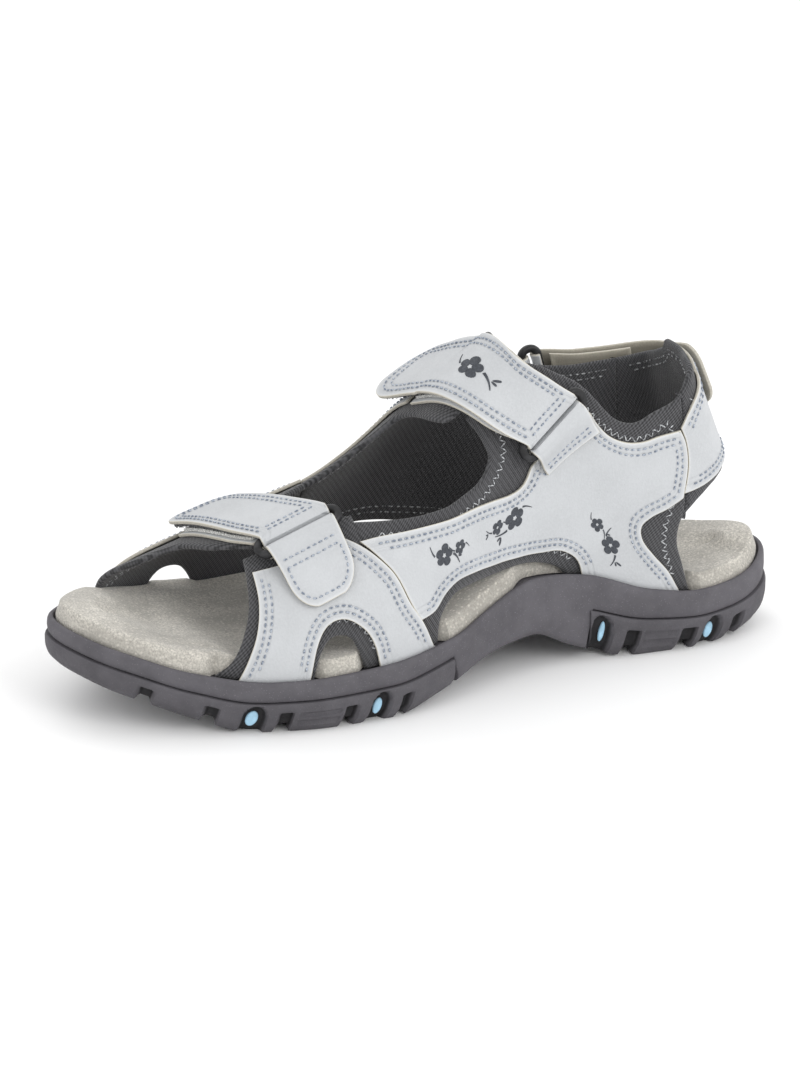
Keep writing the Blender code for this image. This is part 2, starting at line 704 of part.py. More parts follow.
def make_adjuster(label, adjuster, tab_length, base_length, loop_span, hook_span, leaf_length,
                  leaf_round, leaf_drop):
    tab_axis = adjuster.bar_point(0.5, 1)
    ring_axis = adjuster.bar_point(0.5, -1)
    ring_loop(f"{label}_ring", adjuster, ring_axis)
    strap_layer(f"{label}_strap_tab", adjuster, 1, 0, tab_length, TAB, GREY_LEATHER, 0.55, rounded=8,
                roll=True, origin=tab_axis)
    strap_layer(f"{label}_hook_patch", adjuster, 1, *hook_span, HOOK, DARK_FLEECE, 0.95, narrow=1.2,
                origin=tab_axis)
    strap_layer(f"{label}_loop_patch", adjuster, 1, *loop_span, LOOP, CREAM_FLEECE, 0.95, narrow=1.2)
    strap_layer(f"{label}_strap_base", adjuster, 1, BASE_START, base_length, BASE, GREY_LEATHER, 0.55)
    strap_layer(f"{label}_ring_chape", adjuster, -1, 0, leaf_length, TAB, GREY_LEATHER, 0.55,
                rounded=leaf_round, roll=True, settle=(leaf_length * 0.8, leaf_drop))


ADJUSTERS = {
    "forefoot": Adjuster(1, ((212, 44.5), (187, 53)), ((228, 64), (202, 75)), ((240, 88), (215, 95)),
                         ((206, 23), (184, 30))),
    "instep": Adjuster(1, ((115, 49), (96, 66)), ((143, 80), (122, 88)), ((155, 112), (131, 120)),
                       ((104, 36), (84, 52))),
    "heel": Adjuster(-1, ((86, 47), (93, 71)), ((46, 48), (49, 75)), ((4, 54), (4, 80)),
                     ((99, 45), (107, 68))),
}

# ---- the flat pieces of the upper, as (run, climb) on the foot form ----
VAMP_BACK = ((186, 45.5), (181, 41.5), (176, 36.5), (171, 30), (166.5, 20), (161, 11), (156.5, 0.4))
VAMP_CUT = ((179, 0.4), (181, 9), (184.5, 15), (191, 19.3), (197.5, 18), (202, 11.5), (205, 0.4))
VAMP_FRONT = ((230, 0.4), (226, 8), (222, 17), (219.5, 27), (218.8, 37.5))
MEDIAL_VAMP = (VAMP_BACK, ((156.5, 0.4),), VAMP_CUT, ((205, 0.4),), VAMP_FRONT,
               ((218.8, 37.5), (200, 41.5)))
MEDIAL_VAMP_LINING = (
    ((187, 56), (184.5, 50), (181.8, 42.5), (177.5, 37), (172.5, 30), (168, 20), (162.5, 11),
     (158, 0.4)),
    ((158, 0.4),),
    ((184, 0.4), (186, 7), (189, 12.5), (193.5, 14), (197.5, 12.5), (201, 7), (203, 0.4)),
    ((203, 0.4),),
    ((238, 0.4), (232, 6), (227.5, 14), (223.5, 25), (221.5, 36), (220, 45.5)),
    ((220, 45.5), (203, 51.5)),
)
MEDIAL_QUARTER = (
    ((180.4, 43), (175.2, 36.8), (170.2, 30), (165.7, 20), (161.9, 12.6)),
    ((161.9, 12.6), (156, 13.6), (151, 18), (145, 19.8), (135, 17), (126, 14), (117, 11), (108, 10),
     (100, 10), (95, 8), (92.6, 5), (91.6, 0.4)),
    ((91.6, 0.4),),
    ((54.5, 0.4), (59, 8), (64.5, 13.5), (69.3, 19), (69.8, 24), (66, 28), (60, 31.5), (53.5, 36)),
    ((53.5, 36), (51.5, 48), (52, 56), (54, 61)),
    ((54, 61), (62, 58.5), (69, 55.5), (76, 53.5), (82, 53.8), (86.5, 57), (89.5, 61)),
    ((89.5, 61), (101, 51.5), (112, 42)),
    ((112, 42), (115.5, 36.5), (121, 35.4), (130, 38), (143, 41), (155, 42.3), (166, 43), (174, 43.4)),
)
MEDIAL_QUARTER_LINING = (
    ((182, 52), (180.6, 44), (175.8, 37), (170.8, 30), (166.3, 20), (161, 11), (156.5, 0.4)),
    ((156.5, 0.4),),
    ((153.5, 0.4), (152.5, 8), (149, 13), (144, 14.6), (134, 12), (124, 9), (116, 7), (107, 5.6),
     (100, 3.4), (97, 0.4)),
    ((97, 0.4),),
    ((50, 0.4), (53, 11), (55, 18), (55, 24), (53.5, 30), (52.2, 36), (51.7, 50), (51.7, 60), (52, 74)),
    ((52, 74), (56, 70.5), (64, 66), (70, 62), (75, 60.2), (80, 60.5), (84.5, 63.5), (89, 67.5),
     (94, 71), (99, 73)),
    ((99, 73), (107, 76), (114.5, 78)),
    ((114.5, 78), (137, 70)),
    ((137, 70), (130.5, 58), (128.5, 51), (133, 46), (142, 45.6), (150, 45.8), (160, 46.8),
     (173, 49.5)),
)
HEEL_LINING = (
    ((51.2, 33.5), (51.2, 50), (51.2, 60), (51.5, 74.5)),
    ((51.5, 74.5), (46, 80), (36, 84), (20, 86.5), (0, 87), (-20, 86), (-36, 83), (-50, 78),
     (-59.5, 74.5)),
    ((-59.5, 74.5), (-59.5, 50), (-58, 33)),
    ((-58, 33), (-48, 36), (-34, 38.5), (-12, 39.5), (12, 39.5), (34, 38.5), (45, 35.5)),
)
HEEL_STRAP = (
    ((52.8, 38), (50.9, 48), (51.2, 56), (53.2, 62.4)),
    ((53.2, 62.4), (50, 67.5), (45, 72.5), (36, 78.5), (20, 82.5), (0, 83.5), (-20, 82.5), (-36, 80),
     (-46, 77)),
    ((-46, 77), (-44, 60), (-42, 46)),
    ((-42, 46), (-34, 44.5), (-12, 43.5), (12, 43), (34, 41.5), (46, 39.5)),
)
LATERAL_VAMP = (
    ((183.8, 52), (181, 42), (180, 30), (180, 15), (184, 0.4)),
    ((184, 0.4),),
    ((217, 0.4), (218.5, 8), (223, 15.5), (231, 18), (239, 15.5), (244, 8), (246, 0.4)),
    ((246, 0.4),),
    ((263, 0.4), (261, 10), (254, 21), (246, 29.5), (240.5, 34)),
    ((240.5, 34), (231, 38), (218, 44.5), (206, 50.5), (194, 53.2)),
)
LATERAL_VAMP_LINING = (
    ((185.4, 54), (183, 42), (182, 30), (182, 15), (186, 0.4)),
    ((186, 0.4),),
    ((220, 0.4), (221.5, 7), (226, 13), (231, 14.5), (236, 13), (240.5, 7), (242.5, 0.4)),
    ((242.5, 0.4),),
    ((267.5, 0.4), (264.5, 12), (257, 23), (249, 31.5), (241, 37.5), (234, 45), (230.5, 52), (225, 63),
     (213, 77.5)),
    ((213, 77.5), (188, 83.5)),
    ((188, 83.5), (193, 75), (197.5, 65), (198.5, 59), (193, 56)),
)
LATERAL_QUARTER = (
    ((182.8, 51.2), (180.2, 42), (179.2, 30), (179.2, 15), (179.4, 12.5)),
    ((179.4, 12.5), (175, 18), (168, 21.5), (158, 22), (148, 20), (136, 17.5), (124, 15), (112, 12),
     (104, 8), (100, 0.4)),
    ((100, 0.4),),
    ((56, 0.4), (61, 9), (67, 14), (71, 20), (72, 26), (73, 33), (77, 42)),
    ((77, 42), (92.5, 41.5)),
    ((92.5, 41.5), (96, 56), (100.5, 69)),
    ((100.5, 69), (109, 70), (117, 74.5), (123, 80.5), (128, 86)),
    ((128, 86), (151.5, 77)),
    ((151.5, 77), (156, 70), (163, 62.5), (172, 56)),
)
LATERAL_QUARTER_LINING = (
    ((184.2, 53), (182.2, 42), (181.2, 30), (181.2, 15), (183, 5), (184.8, 0.4)),
    ((184.8, 0.4),),
    ((177, 0.4), (174, 10), (168, 16), (160, 18), (150, 17), (138, 14), (126, 11), (114, 8.5), (106, 5),
     (103.5, 0.4)),
    ((103.5, 0.4),),
    ((52, 0.4), (55, 10), (58, 18), (59.5, 26), (60.2, 36), (60.2, 50), (60.2, 73.5)),
    ((60.2, 73.5), (68, 71.5), (80, 69), (92, 69.5), (103, 73), (112, 80), (119.5, 90), (124, 99),
     (125, 108), (125, 114)),
    ((125, 114), (140.5, 108)),
    ((140.5, 108), (144, 105), (148.5, 95), (153, 76), (158, 69), (166, 62), (175, 56.8)),
)


def make_upper():
    flat = (
        ("medial_vamp", 1, MEDIAL_VAMP, VAMP_LEATHER, GREY_LEATHER),
        ("medial_vamp_lining", 1, MEDIAL_VAMP_LINING, LINING, DARK_LINING),
        ("medial_quarter", 1, MEDIAL_QUARTER, LEATHER, GREY_LEATHER),
        ("medial_quarter_lining", 1, MEDIAL_QUARTER_LINING, LINING, DARK_LINING),
        ("heel_collar_lining", 1, HEEL_LINING, LINING, DARK_LINING),
        ("heel_strap_back", 1, HEEL_STRAP, LEATHER, GREY_LEATHER),
        ("lateral_vamp", -1, LATERAL_VAMP, VAMP_LEATHER, GREY_LEATHER),
        ("lateral_vamp_lining", -1, LATERAL_VAMP_LINING, LINING, DARK_LINING),
        ("lateral_quarter", -1, LATERAL_QUARTER, LEATHER, GREY_LEATHER),
        ("lateral_quarter_lining", -1, LATERAL_QUARTER_LINING, LINING, DARK_LINING),
    )
    for name, side, runs, layer, colour in flat:
        panel(name, side, runs, *layer, colour, 0.9 if colour is DARK_LINING else 0.55)


def make_adjusters():
    make_adjuster("forefoot", ADJUSTERS["forefoot"], 46, 38, (5, 36), (8, 40), 20, 9, 2.2)
    make_adjuster("instep", ADJUSTERS["instep"], 58, 42, (5, 40), (8, 52), 12, 0, 3.0)
    make_adjuster("heel", ADJUSTERS["heel"], 58, 32, (5, 31), (8, 52), 11, 0, 3.0)


def main():
    clear_scene()
    make_sole()
    make_upper()
    make_adjusters()


main()
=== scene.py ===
"""The looks of the strappy sport sandal: its visible pieces, on the same foot form as the CAD solids."""

import math
import random

import bmesh
import bpy
import numpy as np
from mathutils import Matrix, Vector


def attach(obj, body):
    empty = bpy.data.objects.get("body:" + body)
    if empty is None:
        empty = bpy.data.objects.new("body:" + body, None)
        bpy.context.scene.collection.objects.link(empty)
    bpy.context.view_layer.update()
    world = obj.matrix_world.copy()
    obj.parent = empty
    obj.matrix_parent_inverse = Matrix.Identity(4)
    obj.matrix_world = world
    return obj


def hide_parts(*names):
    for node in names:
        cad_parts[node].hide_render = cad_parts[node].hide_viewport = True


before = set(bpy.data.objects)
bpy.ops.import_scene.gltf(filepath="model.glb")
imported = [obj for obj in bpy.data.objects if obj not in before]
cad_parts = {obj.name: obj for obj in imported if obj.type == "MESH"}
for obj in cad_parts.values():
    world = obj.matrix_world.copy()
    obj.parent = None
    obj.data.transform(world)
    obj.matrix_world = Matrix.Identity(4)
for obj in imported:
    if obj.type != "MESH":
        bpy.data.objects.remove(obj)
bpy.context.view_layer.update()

MM = 0.001
CENTRE = np.array((2.6605, 0.0, 0.0))  # the shared frame's origin, in the sandal's own millimetres
SANDAL = "sandal"

# ---- driving dimensions, in the sandal's own millimetres ----
# The sole's lines are (share of its length from the heel, value) pairs; its sides are the wearer's
# inner one (medial, 1) and outer one (lateral, -1).
SOLE_LENGTH = 265.0
MEDIAL_EDGE = ((0, 0), (0.015, 12.7), (0.04, 18.8), (0.08, 24), (0.14, 26.7), (0.2, 26.8), (0.3, 25.4),
               (0.4, 32), (0.5, 43.5), (0.6, 50.7), (0.68, 51.8), (0.75, 49), (0.85, 40.7),
               (0.94, 29.1), (0.985, 14), (1, 1))
LATERAL_EDGE = ((0, 0), (0.015, 11.8), (0.04, 19.5), (0.08, 27), (0.14, 31.6), (0.2, 33), (0.3, 34.5),
                (0.4, 37), (0.5, 41), (0.6, 45), (0.68, 46.5), (0.75, 45), (0.85, 37.5), (0.94, 23.6),
                (0.985, 10), (1, -1))
MEDIAL_TOP = ((0, 29), (0.05, 24.2), (0.13, 22.3), (0.2, 25.1), (0.29, 33), (0.37, 35.8), (0.44, 30),
              (0.5, 24), (0.6, 20.3), (0.75, 18.6), (0.85, 22.2), (0.93, 28.5), (1, 33))
LATERAL_TOP = ((0, 29), (0.05, 26), (0.14, 24.5), (0.3, 27), (0.4, 28), (0.5, 25), (0.6, 21.5),
               (0.75, 19.6), (0.85, 22.8), (0.93, 28.5), (1, 33))
MEDIAL_BOTTOM = ((0, 6), (0.04, 2.9), (0.08, 1.2), (0.13, 0), (0.22, 0), (0.3, 5.4), (0.37, 14),
                 (0.44, 12), (0.52, 4.5), (0.59, 0), (0.78, 0), (0.85, 5), (0.92, 11.5), (1, 17.3))
LATERAL_BOTTOM = ((0, 6), (0.04, 2.9), (0.08, 1.2), (0.13, 0), (0.25, 0), (0.34, 4), (0.42, 6),
                  (0.5, 3), (0.57, 0), (0.78, 0), (0.85, 5), (0.92, 11.5), (1, 17.3))
SLOT_INSET = 6.1  # the foot side of the straps where they enter the sole, in from the sole's edge
SLOT_DEPTH = 1.8

# ---- the foot form that the straps wrap ----
RIDGE_BACK = ((0, 53), (0.12, 55), (0.25, 60), (0.3, 57), (0.35, 49), (0.39, 38), (0.43, 25), (0.5, 3),
              (0.6, -26), (0.7, -53), (0.8, -79), (0.9, -105), (1, -128))
RIDGE_HEIGHT = ((0, 190), (0.25, 190), (0.3, 172), (0.35, 142), (0.39, 119), (0.43, 108), (0.5, 92),
                (0.56, 78), (0.62, 67.5), (0.7, 59.5), (0.8, 51.5), (0.9, 44), (1, 38))
RIDGE_OFFSET = ((0, 0), (0.4, 0), (0.6, 3), (0.8, 4), (1, 0))
ROUNDNESS = ((0, 1.08), (0.07, 1.4), (0.16, 2.3), (0.4, 2.45), (0.7, 2.3), (1, 2.1))
SHOE_HALF = SOLE_LENGTH / 2
HEEL_SOLE_END = 0.29
FORE_SOLE_START = 0.5
TREAD_THICKNESS = 4.6
MIDSOLE_RAMP = 0.6  # the midsole rises this much more off the tread, away from the tread's ends
GROOVE_RISE = 2.4
GROOVES = ((0.066, 0.083), (0.142, 0.163), (0.224, 0.242), (0.576, 0.588), (0.652, 0.667),
           (0.737, 0.753), (0.828, 0.843), (0.905, 0.92))
WINDOWS = ((0.104, 0.13), (0.262, 0.283), (0.607, 0.632), (0.771, 0.799))
FORE_BAND = 0.6  # height of the rubber band on the sole's side, as a share of the side
HEEL_BAND = 0.55
# where the footbed stands further in for a strap: start, its ramp, end and its ramp, in run
CHANNELS = {1: ((48.2, 2, 117, 11), (151.8, 2, 186.0, 5), (201.0, 5, 240, 2)),
            -1: ((50.2, 2, 112, 9), (174.2, 3, 221.8, 2), (240.8, 2, 269.4, 2))}
FLOOR_DROP = 2.2
GAP = 0.3
SUEDE = 1.4  # thickness of the footbed's cover
FOOTBED_MIDDLE = 3.2  # height of the footbed above the midsole's edge, on its middle line
FOOTBED_FLAT = 4.3
FOOTBED_RIM = 5.2
FOOTBED_TUCK = 1.6  # how far the cover's side reaches down behind the midsole's edge
CHANNEL_INSET = 7.3  # the footbed stands this far in where a strap passes, and EDGE_INSET elsewhere
EDGE_INSET = 3.1
FLAT_INSET = 15.0  # the sole's inner faces run flat from here to its middle line
# ---- where each layer of the upper starts and ends above the foot form ----
LINING = (0.0, 1.5)
LEATHER = (2.0, 3.2)
VAMP_LEATHER = (2.1, 3.4)
BASE = (2.0, 3.3)
LOOP = (3.7, 4.8)
HOOK = (5.1, 6.2)
TAB = (6.6, 8.0)
RING_LIFT = 5.0  # the middle of a ring's bars above the foot form
RING_BAR = 1.3  # half the thickness of a bar
RING_SPREAD = 3.3  # from the ring's middle line to each of its bars
FADE = 14.0  # a strap goes from its bar's direction to the foot form's over this length
BASE_START = 3.4  # a strap's base begins outside the round of the tab that turns on the bar

# ---- the flat pieces of the upper, as (run, climb) on the foot form ----
VAMP_BACK = ((186, 45.5), (181, 41.5), (176, 36.5), (171, 30), (166.5, 20), (161, 11), (156.5, 0.4))
VAMP_CUT = ((179, 0.4), (181, 9), (184.5, 15), (191, 19.3), (197.5, 18), (202, 11.5), (205, 0.4))
VAMP_FRONT = ((230, 0.4), (226, 8), (222, 17), (219.5, 27), (218.8, 37.5))
MEDIAL_VAMP = (VAMP_BACK, ((156.5, 0.4),), VAMP_CUT, ((205, 0.4),), VAMP_FRONT,
               ((218.8, 37.5), (200, 41.5)))
MEDIAL_VAMP_LINING = (
    ((180.9, 55), (180.6, 50), (179.6, 43), (175.4, 37), (170.5, 30), (166.1, 20), (160.9, 11),
     (156.5, 0.4)),
    ((156.5, 0.4),),
    ((184, 0.4), (186, 7), (189, 12.5), (193.5, 14), (197.5, 12.5), (201, 7), (203, 0.4)),
    ((203, 0.4),),
    ((238, 0.4), (232, 6), (227.5, 14), (223.5, 25), (221.5, 36), (220, 45.5)),
    ((220, 45.5), (203, 51.5)),
)
MEDIAL_QUARTER = (
    ((180.9, 43), (175.7, 36.8), (170.7, 30), (166.2, 20), (162.2, 12.4)),
    ((162.2, 12.4), (156, 13.6), (151, 18), (145, 19.8), (135, 17), (126, 14), (117, 11), (108, 10),
     (100, 10), (95, 8), (92.6, 5), (91.6, 0.4)),
    ((91.6, 0.4),),
    ((54.5, 0.4), (59, 8), (64.5, 13.5), (69.3, 19), (69.8, 24), (66, 28), (60, 31.5), (53.5, 36)),
    ((53.5, 36), (51.5, 48), (52, 56), (54, 61)),
    ((54, 61), (62, 58.5), (69, 55.5), (76, 53.5), (82, 53.8), (86.5, 57), (89.5, 61)),
    ((89.5, 61), (101, 51.5), (112, 42)),
    ((112, 42), (115.5, 36.5), (121, 35.4), (130, 38), (143, 41), (155, 42.3), (166, 43), (174, 43.4)),
)
MEDIAL_QUARTER_LINING = (
    ((182, 52), (180.6, 44), (175.8, 37), (170.8, 30), (166.3, 20), (161, 11), (156.5, 0.4)),
    ((156.5, 0.4),),
    ((153.5, 0.4), (152.5, 8), (149, 13), (144, 14.6), (134, 12), (124, 9), (116, 7), (107, 5.6),
     (100, 3.4), (97, 0.4)),
    ((97, 0.4),),
    ((50, 0.4), (53, 11), (55, 18), (54.6, 24), (52.6, 30), (51.8, 36), (51.6, 50), (51.6, 60), (52, 74)),
    ((52, 74), (56, 70.5), (64, 66), (70, 62), (75, 60.2), (80, 60.5), (84.5, 63.5), (89, 67.5),
     (94, 71), (99, 73)),
    ((99, 73), (107, 76), (114.5, 78)),
    ((114.5, 78), (137, 70)),
    ((137, 70), (130.5, 58), (128.5, 51), (133, 46), (142, 45.6), (150, 45.8), (160, 46.8),
     (173, 49.5)),
)
HEEL_LINING = (
    ((53.9, 27), (52.5, 31.5), (51.9, 36), (51.8, 50), (51.8, 60), (51.9, 74.5)),
    ((51.9, 74.5), (46, 80), (36, 84), (20, 86.5), (0, 87), (-12, 84.8), (-22, 80.6), (-36, 76.6),
     (-50, 73.4), (-60.5, 71.6)),
    ((-60.5, 71.6), (-60.5, 50), (-60.1, 26)),
    ((-60.1, 26), (-56, 31), (-48, 35.5), (-34, 38.5), (-12, 39.5), (12, 39.5), (34, 38.5), (44, 35.5),
     (50.5, 31)),
)
HEEL_STRAP = (
    ((53.1, 37.7), (51.2, 48), (51.7, 56), (53.7, 61.8)),
    ((53.7, 61.8), (50, 67.5), (45, 72.5), (36, 78.5), (20, 82.5), (0, 83.5), (-12, 81.3), (-22, 77),
     (-36, 73.6), (-46, 72)),
    ((-46, 72), (-44, 60), (-42, 46)),
    ((-42, 46), (-34, 44.5), (-12, 43.5), (12, 43), (34, 41.5), (46, 39.5)),
)
LATERAL_VAMP = (
    ((181.4, 46), (180.1, 40), (179.4, 30), (179.5, 15), (183.6, 0.4)),
    ((183.6, 0.4),),
    ((217, 0.4), (218.5, 8), (223, 15.5), (231, 18), (239, 15.5), (244, 8), (246, 0.4)),
    ((246, 0.4),),
    ((259.5, 0.4), (257.3, 9.3), (250.4, 19), (242.8, 26.8), (237, 30.8)),
    ((237, 30.8), (228.5, 34), (215.5, 39.2), (203.5, 44.4), (193, 46.8)),
)
LATERAL_VAMP_LINING = (
    ((183.4, 54), (181.7, 42), (180.8, 30), (180.8, 15), (184.8, 0.4)),
    ((184.8, 0.4),),
    ((220, 0.4), (221.5, 7), (226, 13), (231, 14.5), (236, 13), (240.5, 7), (242.5, 0.4)),
    ((242.5, 0.4),),
    ((267.5, 0.4), (264.5, 12), (257, 23), (249, 31.5), (241, 37.5), (234, 45), (230.5, 52), (225, 63),
     (213, 77.5)),
    ((213, 77.5), (188, 83.5)),
    ((188, 83.5), (193, 75), (197.5, 65), (198.5, 59), (193, 56)),
)
LATERAL_QUARTER = (
    ((180.7, 44.8), (179.7, 40), (178.9, 30), (178.9, 15), (179.4, 12.5)),
    ((179.4, 12.5), (175, 18), (168, 21.5), (158, 22), (148, 20), (136, 17.5), (124, 15), (112, 12),
     (104, 8), (100, 0.4)),
    ((100, 0.4),),
    ((56, 0.4), (61, 9), (67, 14), (71, 20), (72, 26), (73, 33), (77, 42)),
    ((77, 42), (92.5, 41.5)),
    ((92.5, 41.5), (96, 56), (100.5, 69)),
    ((100.5, 69), (109, 70), (117, 74.5), (123, 80.5), (128, 86)),
    ((128, 86), (149, 77.9)),
    ((149, 77.9), (153.2, 64.5), (161, 56), (170.5, 49.4)),
)
LATERAL_QUARTER_LINING = (
    ((184.2, 53), (182.2, 42), (181.2, 30), (181.2, 15), (183, 5), (184.8, 0.4)),
    ((184.8, 0.4),),
    ((177, 0.4), (174, 10), (168, 16), (160, 18), (150, 17), (138, 14), (126, 11), (114, 8.5), (106, 5),
     (103.5, 0.4)),
    ((103.5, 0.4),),
    ((52, 0.4), (55, 10), (58, 18), (59.5, 26), (60.2, 36), (60.2, 50), (60.2, 71.6)),
    ((60.2, 71.6), (68, 70.6), (80, 69), (92, 69.5), (103, 73), (112, 80), (119.5, 90), (124, 99),
     (125, 108), (125, 114)),
    ((125, 114), (140.5, 108)),
    ((140.5, 108), (144, 105), (148.5, 95), (153, 76), (158, 69), (166, 62), (175, 56.8)),
)


# ---- the foot form, in run along the sole's edge and climb up the foot ----


def along(knots, t):
    """A smooth curve through (position, value) knots, read at t."""
    k = np.array(knots, float)
    x, v = k[:, 0], k[:, 1]
    h = np.diff(x)
    d = np.diff(v) / h
    m = np.empty(len(x))
    total = d[:-1] + d[1:]
    product = d[:-1] * d[1:]
    m[1:-1] = np.where(product > 0, 2 * product / np.where(total == 0, 1, total), 0)
    m[0], m[-1] = d[0], d[-1]
    t = np.clip(np.asarray(t, float), x[0], x[-1])
    i = np.clip(np.searchsorted(x, t, "right") - 1, 0, len(h) - 1)
    s = (t - x[i]) / h[i]
    a = (1 + 2 * s) * (1 - s) ** 2 * v[i] + s * (1 - s) ** 2 * h[i] * m[i]
    return a + s * s * (3 - 2 * s) * v[i + 1] + s * s * (s - 1) * h[i] * m[i + 1]


def edge_width(side, s):
    knots = MEDIAL_EDGE if side > 0 else LATERAL_EDGE
    turned = [(math.acos(1 - 2 * p), v) for p, v in knots]
    return along(turned, np.arccos(1 - 2 * np.clip(s, 0, 1)))


EDGE_POINTS = 721
OTHER_SIDE = 40  # so many points of the other side steady the outline's direction at the heel and toe


def dense_edges():
    """For each side, the sole's outline from heel to toe: fractions, run, points and inward normals."""
    found = {}
    s = (1 - np.cos(np.linspace(0, math.pi, EDGE_POINTS))) / 2
    for side in (1, -1):
        p = np.stack([side * edge_width(side, s), SHOE_HALF - s * SOLE_LENGTH], 1)
        found[side] = [s, None, p, None]
    for side in (1, -1):
        s, _, p, _ = found[side]
        q = found[-side][2]
        whole = np.concatenate([q[1:OTHER_SIDE][::-1], p, q[-OTHER_SIDE:-1][::-1]])
        t = np.gradient(whole, axis=0)[OTHER_SIDE - 1:OTHER_SIDE - 1 + len(p)]
        smoothed = [np.convolve(np.pad(t[:, i], 4, "edge"), np.ones(9) / 9, "valid") for i in (0, 1)]
        t = np.stack(smoothed, 1)
        t /= np.linalg.norm(t, axis=1)[:, None]
        found[side][1] = np.concatenate([[0], np.cumsum(np.linalg.norm(np.diff(p, axis=0), axis=1))])
        found[side][3] = side * np.stack([t[:, 1], -t[:, 0]], 1)
    for end, way in ((0, -1), (-1, 1)):
        for side in (1, -1):
            found[side][3][end] = (0, way)
    return found


EDGES = dense_edges()
FRACTION, RUN, POINT, NORMAL = range(4)  # the parts of each side's outline


def at_run(side, a, what):
    """A part of one side's outline, read at run a."""
    v = EDGES[side][what]
    run = EDGES[side][RUN]
    if v.ndim == 1:
        return np.interp(a, run, v)
    return np.stack([np.interp(a, run, v[:, 0]), np.interp(a, run, v[:, 1])], -1)


def run_of(side, s):
    return np.interp(s, EDGES[side][FRACTION], EDGES[side][RUN])


def edge_point(side, a, inset):
    n = at_run(side, a, NORMAL)
    n = n / np.linalg.norm(n, axis=-1)[..., None]
    return at_run(side, a, POINT) + n * np.asarray(inset)[..., None]


def top_height(side, s):
    return along(MEDIAL_TOP if side > 0 else LATERAL_TOP, s)


def bottom_height(side, s):
    return along(MEDIAL_BOTTOM if side > 0 else LATERAL_BOTTOM, s)


def form_point(side, s, v):
    """The foot form: v runs from the sole's edge (0) to the ridge of the foot (1)."""
    s, v = np.broadcast_arrays(np.asarray(s, float), np.asarray(v, float))
    foot = edge_point(side, run_of(side, s), SLOT_INSET)
    z0 = top_height(side, s) - SLOT_DEPTH
    p = along(ROUNDNESS, s)
    up = np.sin(v * math.pi / 2) ** (2 / p)
    inward = 1 - np.maximum(np.cos(v * math.pi / 2), 0) ** (2 / p)
    x = foot[..., 0] * (1 - inward) + along(RIDGE_OFFSET, s) * inward
    y = foot[..., 1] * (1 - inward) + along(RIDGE_BACK, s) * inward
    return np.stack([x, y, z0 + (along(RIDGE_HEIGHT, s) - z0) * up], -1)


FORM_ROWS = (1 - np.cos(np.linspace(0, math.pi, 241))) / 2
FORM_STEPS = np.linspace(0, 1, 121)


def build_form(side):
    """How far each step of the form has climbed, for each row along the sole."""
    p = form_point(side, FORM_ROWS[:, None], FORM_STEPS[None, :])
    steps = np.linalg.norm(np.diff(p, axis=1), axis=2)
    return np.concatenate([np.zeros((len(FORM_ROWS), 1)), np.cumsum(steps, 1)], 1)


FORM = {side: build_form(side) for side in (1, -1)}


def climb_length(side, s):
    return np.interp(s, FORM_ROWS, FORM[side][:, -1])


def share_of_climb(side, s, h):
    """The v of form_point that lies h up the form, for arrays of one length."""
    i = np.clip(np.searchsorted(FORM_ROWS, s, "right") - 1, 0, len(FORM_ROWS) - 2)
    w = ((s - FORM_ROWS[i]) / (FORM_ROWS[i + 1] - FORM_ROWS[i]))[:, None]
    row = FORM[side][i] * (1 - w) + FORM[side][i + 1] * w
    j = np.clip((row <= h[:, None]).sum(1) - 1, 0, row.shape[1] - 2)
    here = np.arange(len(s))
    low, high = row[here, j], row[here, j + 1]
    return np.clip((j + (h - low) / np.maximum(high - low, 1e-9)) / (row.shape[1] - 1), 0, 1)


def on_form(side, a, h):
    """The form at run a and climb h.

    A negative run goes round the heel, and a long climb over the ridge to the other side."""
    a, h = np.broadcast_arrays(np.asarray(a, float), np.asarray(h, float))
    shape = a.shape
    a, h = a.ravel(), h.ravel()
    sides = np.where(a < 0, -side, side)
    a = np.abs(a)
    found = np.empty((len(a), 3))
    for sd in (1, -1):
        pick = sides == sd
        if not pick.any():
            continue
        s = at_run(sd, a[pick], FRACTION)
        length = climb_length(sd, s)
        climb = h[pick]
        p = form_point(sd, s, share_of_climb(sd, s, np.minimum(climb, length)))
        over = climb > length
        if over.any():
            other = climb_length(-sd, s[over])
            back = np.maximum(other - (climb[over] - length[over]), 0)
            p[over] = form_point(-sd, s[over], share_of_climb(-sd, s[over], back))
        found[pick] = p
    return found.reshape(shape + (3,))


def lifted(side, a, h, lift):
    """Points that stand lift off the form, and the form's outward normals there."""
    aside = 0.6
    a, h = np.broadcast_arrays(np.asarray(a, float), np.asarray(h, float))
    du = on_form(side, a + aside, h) - on_form(side, a - aside, h)
    dv = on_form(side, a, h + aside) - on_form(side, a, np.maximum(h - aside, 0))
    n = np.cross(du, dv) * (-side)
    n /= np.linalg.norm(n, axis=-1)[..., None]
    return on_form(side, a, h) + n * np.asarray(lift, float)[..., None], n


SPINE_PLAIN = 90  # the sole's middle line runs evenly this far to each side of its centre
SPINE_REST = 0.55  # and then on by this share, so that it stops short of the heel and the toe


def spine_point(s):
    """The point of the sole's middle line that faces the fraction s, and its own fraction."""
    y = SHOE_HALF - s * SOLE_LENGTH
    if abs(y) > SPINE_PLAIN:
        y = math.copysign(SPINE_PLAIN + (abs(y) - SPINE_PLAIN) * SPINE_REST, y)
    t = 0.5 - y / SOLE_LENGTH
    return float(edge_width(1, t) - edge_width(-1, t)) / 2, y, t


def smooth(x):
    x = np.clip(x, 0, 1)
    return x * x * (3 - 2 * x)


def bell(x, width):
    return np.exp(-(x / width) ** 2)


# ---- meshes ----


